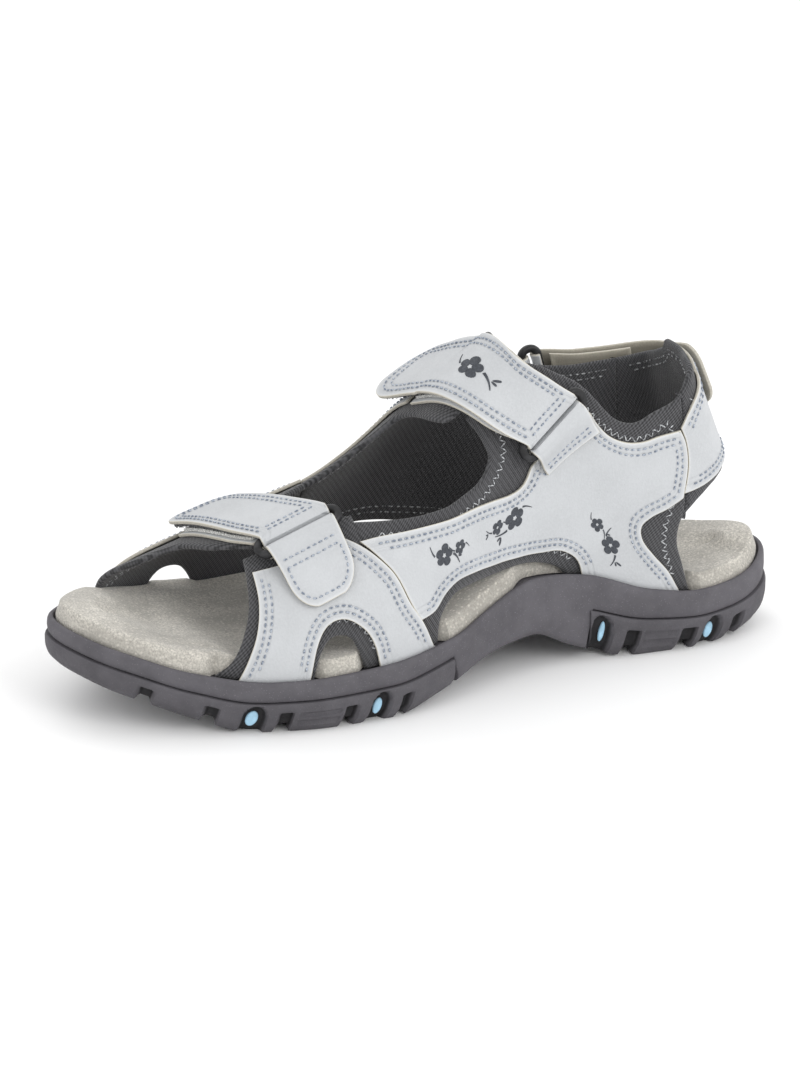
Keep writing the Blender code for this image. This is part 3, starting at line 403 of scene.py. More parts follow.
def build(name, body, points, faces, materials, chosen=None, cloth=None, edge=None, seam=None, sharp=50):
    """One smooth-shaded object from points in millimetres, which rides on a body.

    cloth, edge and seam are values that its material reads at each point."""
    mesh = bpy.data.meshes.new(name)
    mesh.from_pydata(((np.asarray(points, float) - CENTRE) * MM).tolist(), [], faces)
    for made in materials:
        mesh.materials.append(made)
    if chosen is not None:
        mesh.polygons.foreach_set("material_index", np.asarray(chosen, np.int32))
    if cloth is not None:
        layer = mesh.attributes.new("cloth", "FLOAT_VECTOR", "POINT")
        layer.data.foreach_set("vector", np.asarray(cloth, np.float32).ravel())
    for attribute, values in (("edge", edge), ("seam", seam)):
        if values is not None:
            layer = mesh.attributes.new(attribute, "FLOAT", "POINT")
            layer.data.foreach_set("value", np.asarray(values, np.float32))
    shape = bmesh.new()
    shape.from_mesh(mesh)
    bmesh.ops.remove_doubles(shape, verts=shape.verts, dist=2e-6)
    bmesh.ops.recalc_face_normals(shape, faces=shape.faces)
    if shape.calc_volume(signed=True) < 0:
        bmesh.ops.reverse_faces(shape, faces=shape.faces)
    shape.to_mesh(mesh)
    shape.free()
    mesh.shade_smooth()
    mesh.set_sharp_from_angle(angle=math.radians(sharp))
    obj = bpy.data.objects.new(name, mesh)
    bpy.context.scene.collection.objects.link(obj)
    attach(obj, body)
    return obj


def rows_mesh(rows, closed=False):
    """Faces through equal rows of points, each row a closed loop, with caps unless the rows close too."""
    count, width = len(rows), len(rows[0])
    faces = []
    for i in range(count if closed else count - 1):
        j = (i + 1) % count
        for k in range(width):
            m = (k + 1) % width
            faces.append((i * width + k, i * width + m, j * width + m, j * width + k))
    if not closed:
        faces.append(tuple(range(width)))
        faces.append(tuple(range((count - 1) * width, count * width))[::-1])
    return np.concatenate([np.asarray(r, float) for r in rows]), faces


def smooth_run(points, gap):
    """Points at most gap apart on a smooth curve through the given points, the last one left out."""
    p = np.array(points, float)
    if len(p) == 2:
        count = max(int(math.ceil(np.linalg.norm(p[1] - p[0]) / gap)), 1)
        return [p[0] + (p[1] - p[0]) * i / count for i in range(count)]
    steps = np.linalg.norm(np.diff(p, axis=0), axis=1)
    q = np.concatenate([[2 * p[0] - p[1]], p, [2 * p[-1] - p[-2]]])
    found = []
    for i in range(len(p) - 1):
        count = max(int(math.ceil(steps[i] / gap)), 1)
        for j in range(count):
            t = j / count
            a, b, c, d = q[i:i + 4]
            found.append(0.5 * (2 * b + (c - a) * t + (2 * a - 5 * b + 4 * c - d) * t * t
                                + (3 * b - a - 3 * c + d) * t ** 3))
    return found


def outline(runs, gap):
    """A closed outline out of smooth runs that meet at corners, and where each run starts in it."""
    found, starts = [], []
    for i, run in enumerate(runs):
        starts.append(len(found))
        found += smooth_run(list(run) + [runs[(i + 1) % len(runs)][0]], gap)
    return np.array(found), starts + [len(found)]


def moved_in(loop, distance):
    """A closed outline moved inwards by distance."""
    ahead = np.roll(loop, -1, 0) - loop
    ahead /= np.maximum(np.linalg.norm(ahead, axis=1), 1e-9)[:, None]
    area = (loop[:, 0] * np.roll(loop[:, 1], -1) - np.roll(loop[:, 0], -1) * loop[:, 1]).sum()
    n = np.stack([-ahead[:, 1], ahead[:, 0]], 1) * (1 if area > 0 else -1)
    m = n + np.roll(n, 1, 0)
    return loop + m * (2 / np.maximum((m ** 2).sum(1), 1.2))[:, None] * distance


def distance_to(loop, spots, kept=slice(None)):
    """How far each spot is from a closed outline, or from the kept points of it."""
    a, b = loop[kept], np.roll(loop, -1, 0)[kept]
    ab = b - a
    length = np.maximum((ab ** 2).sum(1), 1e-9)
    found = np.empty(len(spots))
    at_once = 800
    for start in range(0, len(spots), at_once):
        p = spots[start:start + at_once, None, :]
        t = np.clip(((p - a) * ab).sum(-1) / length, 0, 1)
        found[start:start + at_once] = np.linalg.norm(p - a - ab * t[..., None], axis=-1).min(1)
    return found


def flat_sheet(loop, insets, cell):
    """A flat mesh inside an outline: close rings along its rim and a grid in its middle."""
    flat = bmesh.new()
    rings = [[flat.verts.new((p[0], p[1], 0)) for p in moved_in(loop, d)] for d in insets]
    for here, there in zip(rings, rings[1:]):
        for i in range(len(here)):
            j = (i + 1) % len(here)
            flat.faces.new((here[i], here[j], there[j], there[i]))
    flat.faces.new(rings[-1])
    for axis in (0, 1):
        spots = loop[:, axis]
        for k in range(math.floor(spots.min() / cell) + 1, math.ceil(spots.max() / cell)):
            point, normal = [0, 0, 0], [0, 0, 0]
            point[axis], normal[axis] = k * cell, 1
            bmesh.ops.bisect_plane(flat, geom=flat.verts[:] + flat.edges[:] + flat.faces[:], dist=0.12,
                                   plane_co=point, plane_no=normal)
    flat.verts.index_update()
    spots = np.array([v.co[:2] for v in flat.verts])
    faces = [[v.index for v in f.verts] for f in flat.faces]
    rim = [(e.verts[0].index, e.verts[1].index) for e in flat.edges if len(e.link_faces) == 1]
    flat.free()
    return spots, faces, rim


def on_side(side):
    """Places flat (run, climb) spots on the foot form at a lift above it."""
    def place(spots, lift):
        return lifted(side, spots[:, 0], np.maximum(spots[:, 1], 0), lift)[0]
    return place


def laid_sheet(name, body, loop, place, layer, materials, rounding, rim_share, puff=0.0, cell=2.4,
               sewn=None):
    """A sheet of this outline laid on a surface, its worked rim rim_share of its full thickness at the cut.

    The materials are for its face, its back and its rim. It swells beside the points that are sewn."""
    insets = [rounding * k for k in (0, 0.12, 0.4, 1)]
    spots, faces, rim = flat_sheet(loop, insets, cell)
    d = distance_to(loop, spots)
    low, high = layer
    middle, half = (low + high) / 2, (high - low) / 2
    t = np.clip(d / rounding, 0, 1)
    share = rim_share + (1 - rim_share) * np.sqrt(1 - (1 - t) ** 2)
    seam = distance_to(loop, spots, sewn) if sewn is not None and sewn.any() else d + 50
    swell = puff * bell(seam - 3.3, 0.8) - puff * bell(seam - 2.3, 0.6)
    over = place(spots, middle + (half + swell) * share)
    under = place(spots, middle - half * share)
    count = len(spots)
    all_faces = [tuple(f) for f in faces] + [tuple(count + i for i in reversed(f)) for f in faces]
    chosen = [0] * len(faces) + [1] * len(faces)
    for a, b in rim:
        all_faces.append((a, b, count + b, count + a))
        chosen.append(2)
    cloth = np.zeros((2 * count, 3))
    cloth[:, :2] = np.concatenate([spots, spots])
    return build(name, body, np.concatenate([over, under]), all_faces, materials, chosen, cloth,
                 np.concatenate([d, d]), np.concatenate([seam, seam]))


# ---- thread ----


THREAD_SIDES = 6


def thread(points, normals, pitch, dash, width, rise, sink=0.12):
    """Stitches along a line of points: each one comes out of the surface and goes back into it."""
    steps = np.concatenate([[0], np.cumsum(np.linalg.norm(np.diff(points, axis=0), axis=1))])
    count = int(steps[-1] / pitch)
    rows_all = []
    for k in range(count):
        start = k * pitch + (steps[-1] - count * pitch) / 2
        rows = []
        for share, out, size in ((0, -sink, 0.6), (0.2, rise * 0.75, 1), (0.5, rise, 1.08),
                                 (0.8, rise * 0.75, 1), (1, -sink, 0.6)):
            at = start + dash * share
            p = np.array([np.interp(at, steps, points[:, i]) for i in range(3)])
            n = np.array([np.interp(at, steps, normals[:, i]) for i in range(3)])
            q = np.array([np.interp(min(at + 0.2, steps[-1]), steps, points[:, i]) for i in range(3)])
            back = np.array([np.interp(max(at - 0.2, 0), steps, points[:, i]) for i in range(3)])
            across = np.cross(n, q - back)
            across /= max(np.linalg.norm(across), 1e-9)
            n = n / np.linalg.norm(n)
            r = width / 2 * size
            turns = np.arange(THREAD_SIDES)[:, None] * 2 * math.pi / THREAD_SIDES
            rows.append(p + n * out + np.cos(turns) * across * r + np.sin(turns) * n * r * 0.8)
        rows_all.append(rows)
    return rows_all


def thread_object(name, body, groups, made):
    """One object out of many stitches."""
    points, faces = [], []
    for rows in groups:
        p, f = rows_mesh(rows)
        base = len(points) * len(p)
        points.append(p)
        faces += [tuple(base + i for i in face) for face in f]
    if not points:
        return None
    return build(name, body, np.concatenate(points), faces, [made], sharp=80)


def line_on(place, spots, lift):
    """A line of flat spots laid on a surface, and the outward normals along it."""
    here = place(spots, lift)
    n = place(spots, lift + 0.4) - here
    return here, n / np.linalg.norm(n, axis=1)[:, None]


SEAM_CLEAR = 0.93  # a seam stops where it comes nearer to another edge than this share of its inset


def seam_lines(loop, kept, place, insets, lift):
    """Lines inside an outline, beside the points of it that are kept, at each inset from it."""
    lines = []
    for inset in insets:
        moved = moved_in(loop, inset)
        free = (distance_to(loop, moved) > inset * SEAM_CLEAR) & kept
        line = []
        for spot, good in zip(moved, free):
            if good:
                line.append(spot)
            else:
                lines.append(line)
                line = []
        lines.append(line)
    return [line_on(place, np.array(line), lift) for line in lines if len(line) > 4]


def in_runs(loop, starts, chosen):
    kept = np.zeros(len(loop), bool)
    for k in chosen:
        kept[starts[k]:starts[k + 1]] = True
    return kept


def side_seams(side, runs, chosen, insets, lift):
    """Seam lines inside the chosen runs of a flat piece's outline."""
    loop, starts = outline(runs, 0.7)
    kept = in_runs(loop, starts, chosen) & (moved_in(loop, insets[0])[:, 1] > 1.5)
    return seam_lines(loop, kept, on_side(side), insets, lift)


def zigzag(points, normals, step, swing, width):
    """Slanting stitches to and fro across a line."""
    steps = np.concatenate([[0], np.cumsum(np.linalg.norm(np.diff(points, axis=0), axis=1))])
    spots = np.arange(step / 2, steps[-1], step)
    p = np.stack([np.interp(spots, steps, points[:, i]) for i in range(3)], 1)
    n = np.stack([np.interp(spots, steps, normals[:, i]) for i in range(3)], 1)
    t = np.gradient(p, axis=0) if len(p) > 1 else p * 0
    across = np.cross(n, t)
    across /= np.maximum(np.linalg.norm(across, axis=1), 1e-9)[:, None]
    p = p + across * (np.where(np.arange(len(p)) % 2, swing, -swing))[:, None]
    groups = []
    for i in range(len(p) - 1):
        groups += thread(p[i:i + 2], n[i:i + 2], np.linalg.norm(p[i + 1] - p[i]) * 0.98,
                         np.linalg.norm(p[i + 1] - p[i]) * 0.94, width, 0.12)
    return groups


# ---- materials ----


class Paint:
    """A material made of nodes, with short calls for the node kinds that this script needs."""

    def __init__(self, name, roughness, specular=0.5, sheen=0.0, sheen_roughness=0.5):
        self.made = bpy.data.materials.new(name)
        self.made.use_nodes = True
        self.tree = self.made.node_tree
        self.shader = self.tree.nodes["Principled BSDF"]
        self.shader.inputs["Roughness"].default_value = roughness
        self.shader.inputs["Specular IOR Level"].default_value = specular
        self.shader.inputs["Sheen Weight"].default_value = sheen
        self.shader.inputs["Sheen Roughness"].default_value = sheen_roughness
        self.where = self.tree.nodes.new("ShaderNodeTexCoord").outputs["Object"]

    def node(self, kind, inputs, **settings):
        n = self.tree.nodes.new(kind)
        for key, value in settings.items():
            setattr(n, key, value)
        for key, value in inputs.items():
            if isinstance(value, bpy.types.NodeSocket):
                self.tree.links.new(value, n.inputs[key])
            else:
                n.inputs[key].default_value = value
        return n.outputs[0]

    def sum(self, what, a, b=0.0, clamp=False):
        """The named arithmetic on two values."""
        return self.node("ShaderNodeMath", {0: a, 1: b}, operation=what, use_clamp=clamp)

    def blend(self, a, a_share, b, b_share):
        """Two values added, each by its own share."""
        return self.sum("ADD", self.sum("MULTIPLY", a, a_share), self.sum("MULTIPLY", b, b_share))

    def noise(self, size, detail=3.0, rough=0.5, where=None):
        """Soft noise whose lumps are about size mm."""
        return self.node("ShaderNodeTexNoise", {"Vector": where or self.where, "Scale": 1000 / size,
                                                "Detail": detail, "Roughness": rough})

    def cells(self, size):
        """0 at the middle of each cell of about size mm, and more towards its edge."""
        return self.node("ShaderNodeTexVoronoi", {"Vector": self.where, "Scale": 1000 / size}, feature="F1")

    def span(self, value, low, high, to_low=0.0, to_high=1.0):
        """A soft step: to_low where the value is low, to_high where it is high."""
        return self.node("ShaderNodeMapRange", {0: value, 1: low, 2: high, 3: to_low, 4: to_high},
                         interpolation_type="SMOOTHSTEP")

    def mix(self, share, a, b):
        a, b = [c if isinstance(c, bpy.types.NodeSocket) else (*c, 1) for c in (a, b)]
        return self.node("ShaderNodeMixRGB", {"Fac": share, "Color1": a, "Color2": b})

    def attribute(self, name, out="Fac"):
        n = self.tree.nodes.new("ShaderNodeAttribute")
        n.attribute_name = name
        return n.outputs[out]

    def colour(self, value):
        self.tree.links.new(value, self.shader.inputs["Base Color"])

    def roughness(self, value):
        self.tree.links.new(value, self.shader.inputs["Roughness"])

    def bump(self, height, depth):
        """Height from 0 to 1 stands for depth mm."""
        n = self.node("ShaderNodeBump", {"Height": height, "Distance": depth * MM, "Strength": 1.0})
        self.tree.links.new(n, self.shader.inputs["Normal"])


LEATHER_GREY = (0.484, 0.497, 0.511)
CUT_CREAM = (0.588, 0.559, 0.487)
CHARCOAL = (0.052, 0.052, 0.055)
SOLE_GREY = (0.083, 0.079, 0.088)
SUEDE_CREAM = (0.645, 0.615, 0.555)
SUEDE_BACK = (0.42, 0.391, 0.323)
THREAD_BLUE = (0.168, 0.197, 0.252)
THREAD_WHITE = (0.554, 0.571, 0.588)
PRINT_GREY = (0.038, 0.042, 0.05)
INSERT_BLUE = (0.29, 0.47, 0.6)


def leather(name):
    """Smooth coated leather: fine grain, soft mottling, a pale cut rim and a furrow under each seam."""
    p = Paint(name, 0.48, specular=0.42)
    d = p.attribute("edge")
    mottled = p.mix(p.span(p.noise(16), 0.3, 0.7), LEATHER_GREY, [c * 0.93 for c in LEATHER_GREY])
    fine = p.mix(p.span(p.noise(0.9, 4), 0.35, 0.75, 0, 0.35), mottled, [c * 1.1 for c in LEATHER_GREY])
    # lighter within about a millimetre of the edge
    lightened = p.mix(p.span(d, 0.15, 1.2, 0.4, 0.0), fine, (0.72, 0.73, 0.73))
    p.colour(p.mix(p.span(d, 0.1, 0.3, 1.0, 0.0), lightened, CUT_CREAM))
    p.roughness(p.span(p.noise(5, 5), 0.25, 0.75, 0.40, 0.58))
    grain = p.blend(p.cells(0.75), 0.16, p.noise(0.5, 5, 0.6), 0.16)
    grain = p.sum("ADD", grain, p.sum("MULTIPLY", p.noise(9, 2), 0.5))
    from_seam = p.attribute("seam")
    for inset in SEAM_INSETS:
        off = p.sum("ABSOLUTE", p.sum("SUBTRACT", from_seam, inset))
        grain = p.sum("SUBTRACT", grain, p.span(off, 0.15, 0.8, 0.5, 0.0))
    p.bump(grain, 0.32)
    return p.made


def cut_edge(name):
    """The pale fibrous edge where leather is cut."""
    p = Paint(name, 0.85, specular=0.25)
    p.colour(p.mix(p.span(p.noise(0.7, 5, 0.7), 0.3, 0.7), CUT_CREAM, [c * 0.72 for c in CUT_CREAM]))
    p.roughness(p.span(p.noise(2), 0.3, 0.7, 0.75, 0.95))
    p.bump(p.noise(0.4, 5, 0.7), 0.25)
    return p.made


RIB_PITCH = 1.15  # between the ribs of the linings' weave, mm


def woven(name, colour):
    """A dense stretch weave with slanting ribs, read off the cloth's own run and climb."""
    p = Paint(name, 0.88, specular=0.25, sheen=0.22, sheen_roughness=0.45)
    cloth = p.attribute("cloth", "Vector")
    parts = p.tree.nodes.new("ShaderNodeSeparateXYZ")
    p.tree.links.new(cloth, parts.inputs[0])
    u, v = parts.outputs[0], parts.outputs[1]
    turn = 2 * math.pi / RIB_PITCH
    rib = p.sum("SINE", p.sum("MULTIPLY", p.sum("ADD", u, v), turn))
    cross = p.sum("SINE", p.sum("MULTIPLY", p.sum("SUBTRACT", u, p.sum("MULTIPLY", v, 0.55)), turn * 0.62))
    height = p.sum("ADD", p.blend(rib, 0.32, cross, 0.18), 0.5)
    fuzz = p.noise(0.35, 4, 0.7)
    # painted shade in the rib valleys and painted highlight on the rib tops, from the same height as the bump
    shade = p.mix(p.span(height, 0.1, 0.95), [c * 0.5 for c in colour], [c * 1.9 for c in colour])
    lightened = p.mix(p.span(p.noise(12), 0.35, 0.75, 0, 0.3), shade, [c * 1.5 for c in colour])
    p.colour(p.mix(p.span(fuzz, 0.4, 0.75, 0, 0.25), lightened, [c * 2.2 for c in colour]))
    p.roughness(p.span(p.noise(3), 0.3, 0.7, 0.8, 0.97))
    p.bump(p.blend(height, 0.8, fuzz, 0.25), 0.34)
    return p.made


def moulded(name, colour, speck=0.5, grain=0.25, recess_shade=0.0):
    """Moulded rubber foam: matte, finely pebbled, with pale dust-like specks and scuffed high spots.

    Where "edge" is 1 it darkens by the given share: painted shade in the tread's grooves and windows."""
    p = Paint(name, 0.72, specular=0.35)
    base = p.mix(p.span(p.noise(14, 4), 0.3, 0.7), colour, [c * 1.25 for c in colour])
    dots = p.span(p.cells(0.95), 0.07, 0.19, speck, 0.0)
    base = p.mix(dots, base, [min(c * 3.2, 1) for c in colour])
    scuff = p.span(p.noise(2.2, 6, 0.7), 0.55, 0.8, 0, 0.35)
    base = p.mix(scuff, base, [c * 1.7 for c in colour])
    # painted shade: darker where "edge" marks a groove or a window of the tread
    if recess_shade:
        base = p.mix(p.span(p.attribute("edge"), 0.25, 0.8, 0, recess_shade), base, [c * 0.12 for c in colour])
    p.colour(base)
    p.roughness(p.span(p.noise(4, 5), 0.3, 0.7, 0.6, 0.84))
    p.bump(p.blend(p.noise(0.55, 4, 0.6), 0.6, p.noise(3.5), 0.4), grain)
    return p.made


def suede(name, colour, nap=0.45, contrast=1.0):
    """Brushed suede: short nap, cloudy light and dark strokes."""
    p = Paint(name, 0.96, specular=0.12, sheen=0.35, sheen_roughness=0.4)
    stretched = p.node("ShaderNodeMapping", {"Vector": p.where, "Scale": (1.0, 0.4, 1.0)})
    cloud = p.span(p.noise(21, 6, 0.62, stretched), 0.34, 0.64)
    dark = [c * (1 - 0.36 * contrast) for c in colour]
    base = p.mix(cloud, dark, [min(c * 1.1, 1) for c in colour])
    blotch = p.span(p.noise(5, 5, 0.65), 0.45, 0.7, 0, 0.5 * contrast)
    base = p.mix(blotch, base, [c * 0.7 for c in colour])
    fibre = p.noise(0.7, 5, 0.75)
    base = p.mix(p.span(fibre, 0.32, 0.66), [c * (1 - 0.5 * contrast) for c in colour], base)
    tufts = p.span(p.cells(1.5), 0.12, 0.42, 0.45 * contrast, 0)
    base = p.mix(tufts, base, [min(c * 1.3, 1) for c in colour])
    # on the footbed cover "edge" holds painted shade in its hollows and a darker side; on a strap's back it
    # is the distance from the edge, so the back darkens fully from 2 mm in
    darkening_share = p.attribute("edge")
    p.colour(p.mix(p.sum("MULTIPLY", darkening_share, 0.5, True), base, [c * 0.55 for c in colour]))
    p.roughness(p.span(p.noise(3), 0.3, 0.7, 0.9, 1.0))
    p.bump(p.blend(fibre, 0.8, p.noise(2.2, 4), 0.5), nap)
    return p.made


def fleece(name, colour, nap=0.8):
    """The hook or loop side of a closing tape."""
    p = Paint(name, 1.0, specular=0.1, sheen=0.3)
    tuft = p.cells(0.9)
    # painted highlight on the raised middles of the tufts and painted shade between them, from the same cells
    # as the bump
    base = p.mix(p.span(tuft, 0.1, 0.6), [min(c * 1.5, 1) for c in colour], [c * 0.45 for c in colour])
    p.colour(p.mix(p.span(p.noise(0.4, 5, 0.8), 0.35, 0.7), base, [min(c * 1.8, 1) for c in colour]))
    p.roughness(p.span(p.noise(2), 0.3, 0.7, 0.9, 1.0))
    p.bump(p.sum("ADD", p.sum("MULTIPLY", tuft, -0.6), p.noise(0.3, 5, 0.8)), nap)
    return p.made


def plastic(name, colour):
    """Moulded plastic with a soft shine and faint flow marks."""
    p = Paint(name, 0.4, specular=0.32)
    p.colour(p.mix(p.span(p.noise(3, 4), 0.35, 0.7), colour, [c * 2.2 + 0.003 for c in colour]))
    p.roughness(p.span(p.noise(1.6, 5), 0.3, 0.7, 0.34, 0.55))
    p.bump(p.noise(0.8, 4), 0.06)
    return p.made


def twisted(name, colour, other):
    """Sewing thread: light and dark plies."""
    p = Paint(name, 0.7, specular=0.3, sheen=0.2)
    p.colour(p.mix(p.span(p.noise(0.8, 3), 0.4, 0.62), colour, other))
    p.roughness(p.span(p.noise(1.0), 0.3, 0.7, 0.6, 0.85))
    p.bump(p.noise(0.18, 2), 0.08)
    return p.made


def ink(name, colour):
    """A printed mark, slightly uneven."""
    p = Paint(name, 0.6, specular=0.35)
    p.colour(p.mix(p.span(p.noise(0.9, 5, 0.7), 0.35, 0.75), colour, [c * 1.9 for c in colour]))
    p.roughness(p.span(p.noise(2), 0.3, 0.7, 0.5, 0.7))
    p.bump(p.noise(0.5, 4), 0.05)
    return p.made


def rubber_blue(name, colour):
    """Soft coloured rubber, a little cloudy."""
    p = Paint(name, 0.5, specular=0.4)
    p.colour(p.mix(p.span(p.noise(2.5, 4), 0.3, 0.7), colour, [min(c * 1.25, 1) for c in colour]))
    p.roughness(p.span(p.noise(1.5), 0.3, 0.7, 0.4, 0.6))
    p.bump(p.noise(0.5, 3), 0.08)
    return p.made

SEAM_INSETS = (2.3, 4.3)  # the two rows of stitches, in from a leather edge

LEATHER_MADE = leather("grey_leather")
EDGE_MADE = cut_edge("leather_cut_edge")
LINING_MADE = woven("charcoal_weave", CHARCOAL)
SOLE_MADE = moulded("midsole_foam", SOLE_GREY)
# the tread's grooves and windows carry painted shade
TREAD_MADE = moulded("tread_rubber", [c * 0.86 for c in SOLE_GREY], speck=0.35, grain=0.4, recess_shade=0.9)
SUEDE_MADE = suede("footbed_suede", SUEDE_CREAM)
STRAP_BACK = suede("strap_back", SUEDE_BACK, 0.3, 0.35)
HOOK_MADE = fleece("hook_tape", (0.075, 0.075, 0.08))
LOOP_MADE = fleece("loop_tape", (0.55, 0.55, 0.53), 0.5)
RING_MADE = plastic("ring_plastic", (0.012, 0.012, 0.013))
SEAM_THREAD = twisted("seam_thread", THREAD_BLUE, (0.42, 0.46, 0.52))
PALE_THREAD = twisted("pale_thread", THREAD_WHITE, (0.10, 0.10, 0.11))
DARK_THREAD = twisted("inner_thread", (0.05, 0.05, 0.055), (0.42, 0.43, 0.44))
PRINT_MADE = ink("flower_print", PRINT_GREY)
BLUE_MADE = rubber_blue("insert_blue", INSERT_BLUE)

LEATHER_SET = [LEATHER_MADE, STRAP_BACK, EDGE_MADE]

# ---- the flat pieces of the upper ----


def threads(name, body, lines, made, pitch=2.25, dash=1.5, width=0.62, rise=0.16, inward=False):
    """One object that holds the stitches of several lines."""
    groups = []
    for points, normals in lines:
        groups += thread(points, -normals if inward else normals, pitch, dash, width, rise)
    if groups:
        thread_object(name, body, groups, made)


OUTLINE_GAP = 1.3  # between the points of a flat piece's outline
SEAM_PUFF = 0.13  # how far leather swells beside a row of stitches
LINING_LAYER = (LINING[0] - 0.9, LINING[1] + 0.1)  # the cloth is thicker than its CAD solid
LINING_SEAMS = (3.4, 5.6)  # the rows on its inner face, in from its edge
ZIGZAG_INSET = 5.4


def leather_piece(node, side, runs, layer, sewn):
    """A flat leather piece and the two rows of stitches along its sewn runs."""
    loop, starts = outline(runs, OUTLINE_GAP)
    obj = laid_sheet(node + "_leather", SANDAL, loop, on_side(side), layer, LEATHER_SET, 0.5, 0.62,
                     puff=SEAM_PUFF, sewn=in_runs(loop, starts, sewn))
    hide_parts(node)
    threads(node + "_seams", SANDAL, side_seams(side, runs, sewn, SEAM_INSETS, layer[1] + 0.05), SEAM_THREAD)


def lining_piece(node, side, runs, zig, inner_sewn):
    """A flat piece of the lining, with zigzag stitches outside and two rows of stitches inside."""
    loop, _ = outline(runs, OUTLINE_GAP)
    obj = laid_sheet(node + "_cloth", SANDAL, loop, on_side(side), LINING_LAYER, [LINING_MADE] * 3, 1.3, 0.12,
                     cell=2.8)
    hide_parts(node)
    groups = []
    for points, normals in side_seams(side, runs, zig, (ZIGZAG_INSET,), LINING_LAYER[1] + 0.05):
        groups += zigzag(points, normals, step=1.5, swing=1.1, width=0.42)
    if groups:
        thread_object(node + "_zigzag", SANDAL, groups, PALE_THREAD)
    lines = side_seams(side, runs, inner_sewn, LINING_SEAMS, LINING_LAYER[0] - 0.02)
    threads(node + "_inner_seams", SANDAL, lines, DARK_THREAD, pitch=2.6, dash=1.7, width=0.6,
            rise=0.14, inward=True)


def make_upper():
    """The numbers say which runs of an outline are sewn: for a lining, outside and then inside."""
    leather_piece("medial_vamp", 1, MEDIAL_VAMP, VAMP_LEATHER, (0, 2, 4))
    leather_piece("medial_quarter", 1, MEDIAL_QUARTER, LEATHER, (1, 3, 4, 5, 7))
    leather_piece("heel_strap_back", 1, HEEL_STRAP, LEATHER, (1, 3))
    leather_piece("lateral_vamp", -1, LATERAL_VAMP, VAMP_LEATHER, (0, 2, 4, 5))
    leather_piece("lateral_quarter", -1, LATERAL_QUARTER, LEATHER, (1, 3, 6, 8))
    lining_piece("medial_vamp_lining", 1, MEDIAL_VAMP_LINING, (2,), (4,))
    lining_piece("medial_quarter_lining", 1, MEDIAL_QUARTER_LINING, (2, 4, 5, 8), (1, 4, 8))
    lining_piece("heel_collar_lining", 1, HEEL_LINING, (0,), (1, 3))
    lining_piece("lateral_vamp_lining", -1, LATERAL_VAMP_LINING, (2,), (0, 4))
    lining_piece("lateral_quarter_lining", -1, LATERAL_QUARTER_LINING, (2, 4), (2, 5, 7))


# ---- the sole ----


def has_tread(s):
    """The heel and the forefoot have a tread, and the arch between them has none."""
    return s < HEEL_SOLE_END or s > FORE_SOLE_START


def tread_end_near(s):
    """How far, as a fraction of the sole's length, the nearer end of a tread is."""
    return min(abs(s - HEEL_SOLE_END), abs(s - FORE_SOLE_START))


def band_top(side, s):
    """The height where the tread's rubber ends on the sole's side."""
    share = HEEL_BAND if s < 0.4 else FORE_BAND
    low = bottom_height(side, s)
    return low + share * (top_height(side, s) - low)


def side_path(first, last, way, step):
    """(side, fraction) stations round the sole.

    The way is "round", or an open path that turns at the "toe" or the "heel"."""
    a0, a1 = run_of(1, first), run_of(1, last)
    count = int((a1 - a0) / step)
    fractions = [float(at_run(1, a0 + (a1 - a0) * k / count, FRACTION)) for k in range(count + 1)]
    near, far = [(1, s) for s in fractions], [(-1, s) for s in fractions]
    if way == "heel":
        return near[::-1] + far[1:]
    return near + (far[-2:0:-1] if way == "round" else far[-2::-1])


def sole_rows(stations, steps_of):
    """Cross-section lines round the sole.

    Each step is (inset, height, share of the way to the middle line, run to stand further on)."""
    rows = []
    for side, s in stations:
        a = float(run_of(side, s))
        row = []
        for inset, height, inward, *on in steps_of(side, s):
            x, y = edge_point(side, a + (on[0] if on else 0), min(inset, FLAT_INSET))
            if inward > 0:
                mid_x, mid_y, _ = spine_point(s)
                x, y = x + (mid_x - x) * inward, y + (mid_y - y) * inward
            row.append((x, y, height))
        rows.append(row)
    return rows


def open_faces(count, width, closed):
    """Faces through equal rows of points, each row an open line."""
    faces = []
    for i in range(count if closed else count - 1):
        j = (i + 1) % count
        faces += [(i * width + k, i * width + k + 1, j * width + k + 1, j * width + k)
                  for k in range(width - 1)]
    return faces


INWARD = (0.25, 0.5, 0.75, 1.0)  # the points of an inner face on its way to the middle line


def middle(height_of, s, side):
    """The heights of an inner face on its way from the sole's flat inset to the middle line."""
    edge = height_of(side, s)
    t = spine_point(s)[2]
    mid = (height_of(1, t) + height_of(-1, t)) / 2
    return [float(edge + (mid - edge) * w) for w in INWARD]


def midsole_bottom(side, s):
    """The midsole's underside, which stands on the treads where there are any."""
    rise = TREAD_THICKNESS + MIDSOLE_RAMP * min(tread_end_near(s) / 0.03, 1) if has_tread(s) else 0
    return bottom_height(side, s) + rise


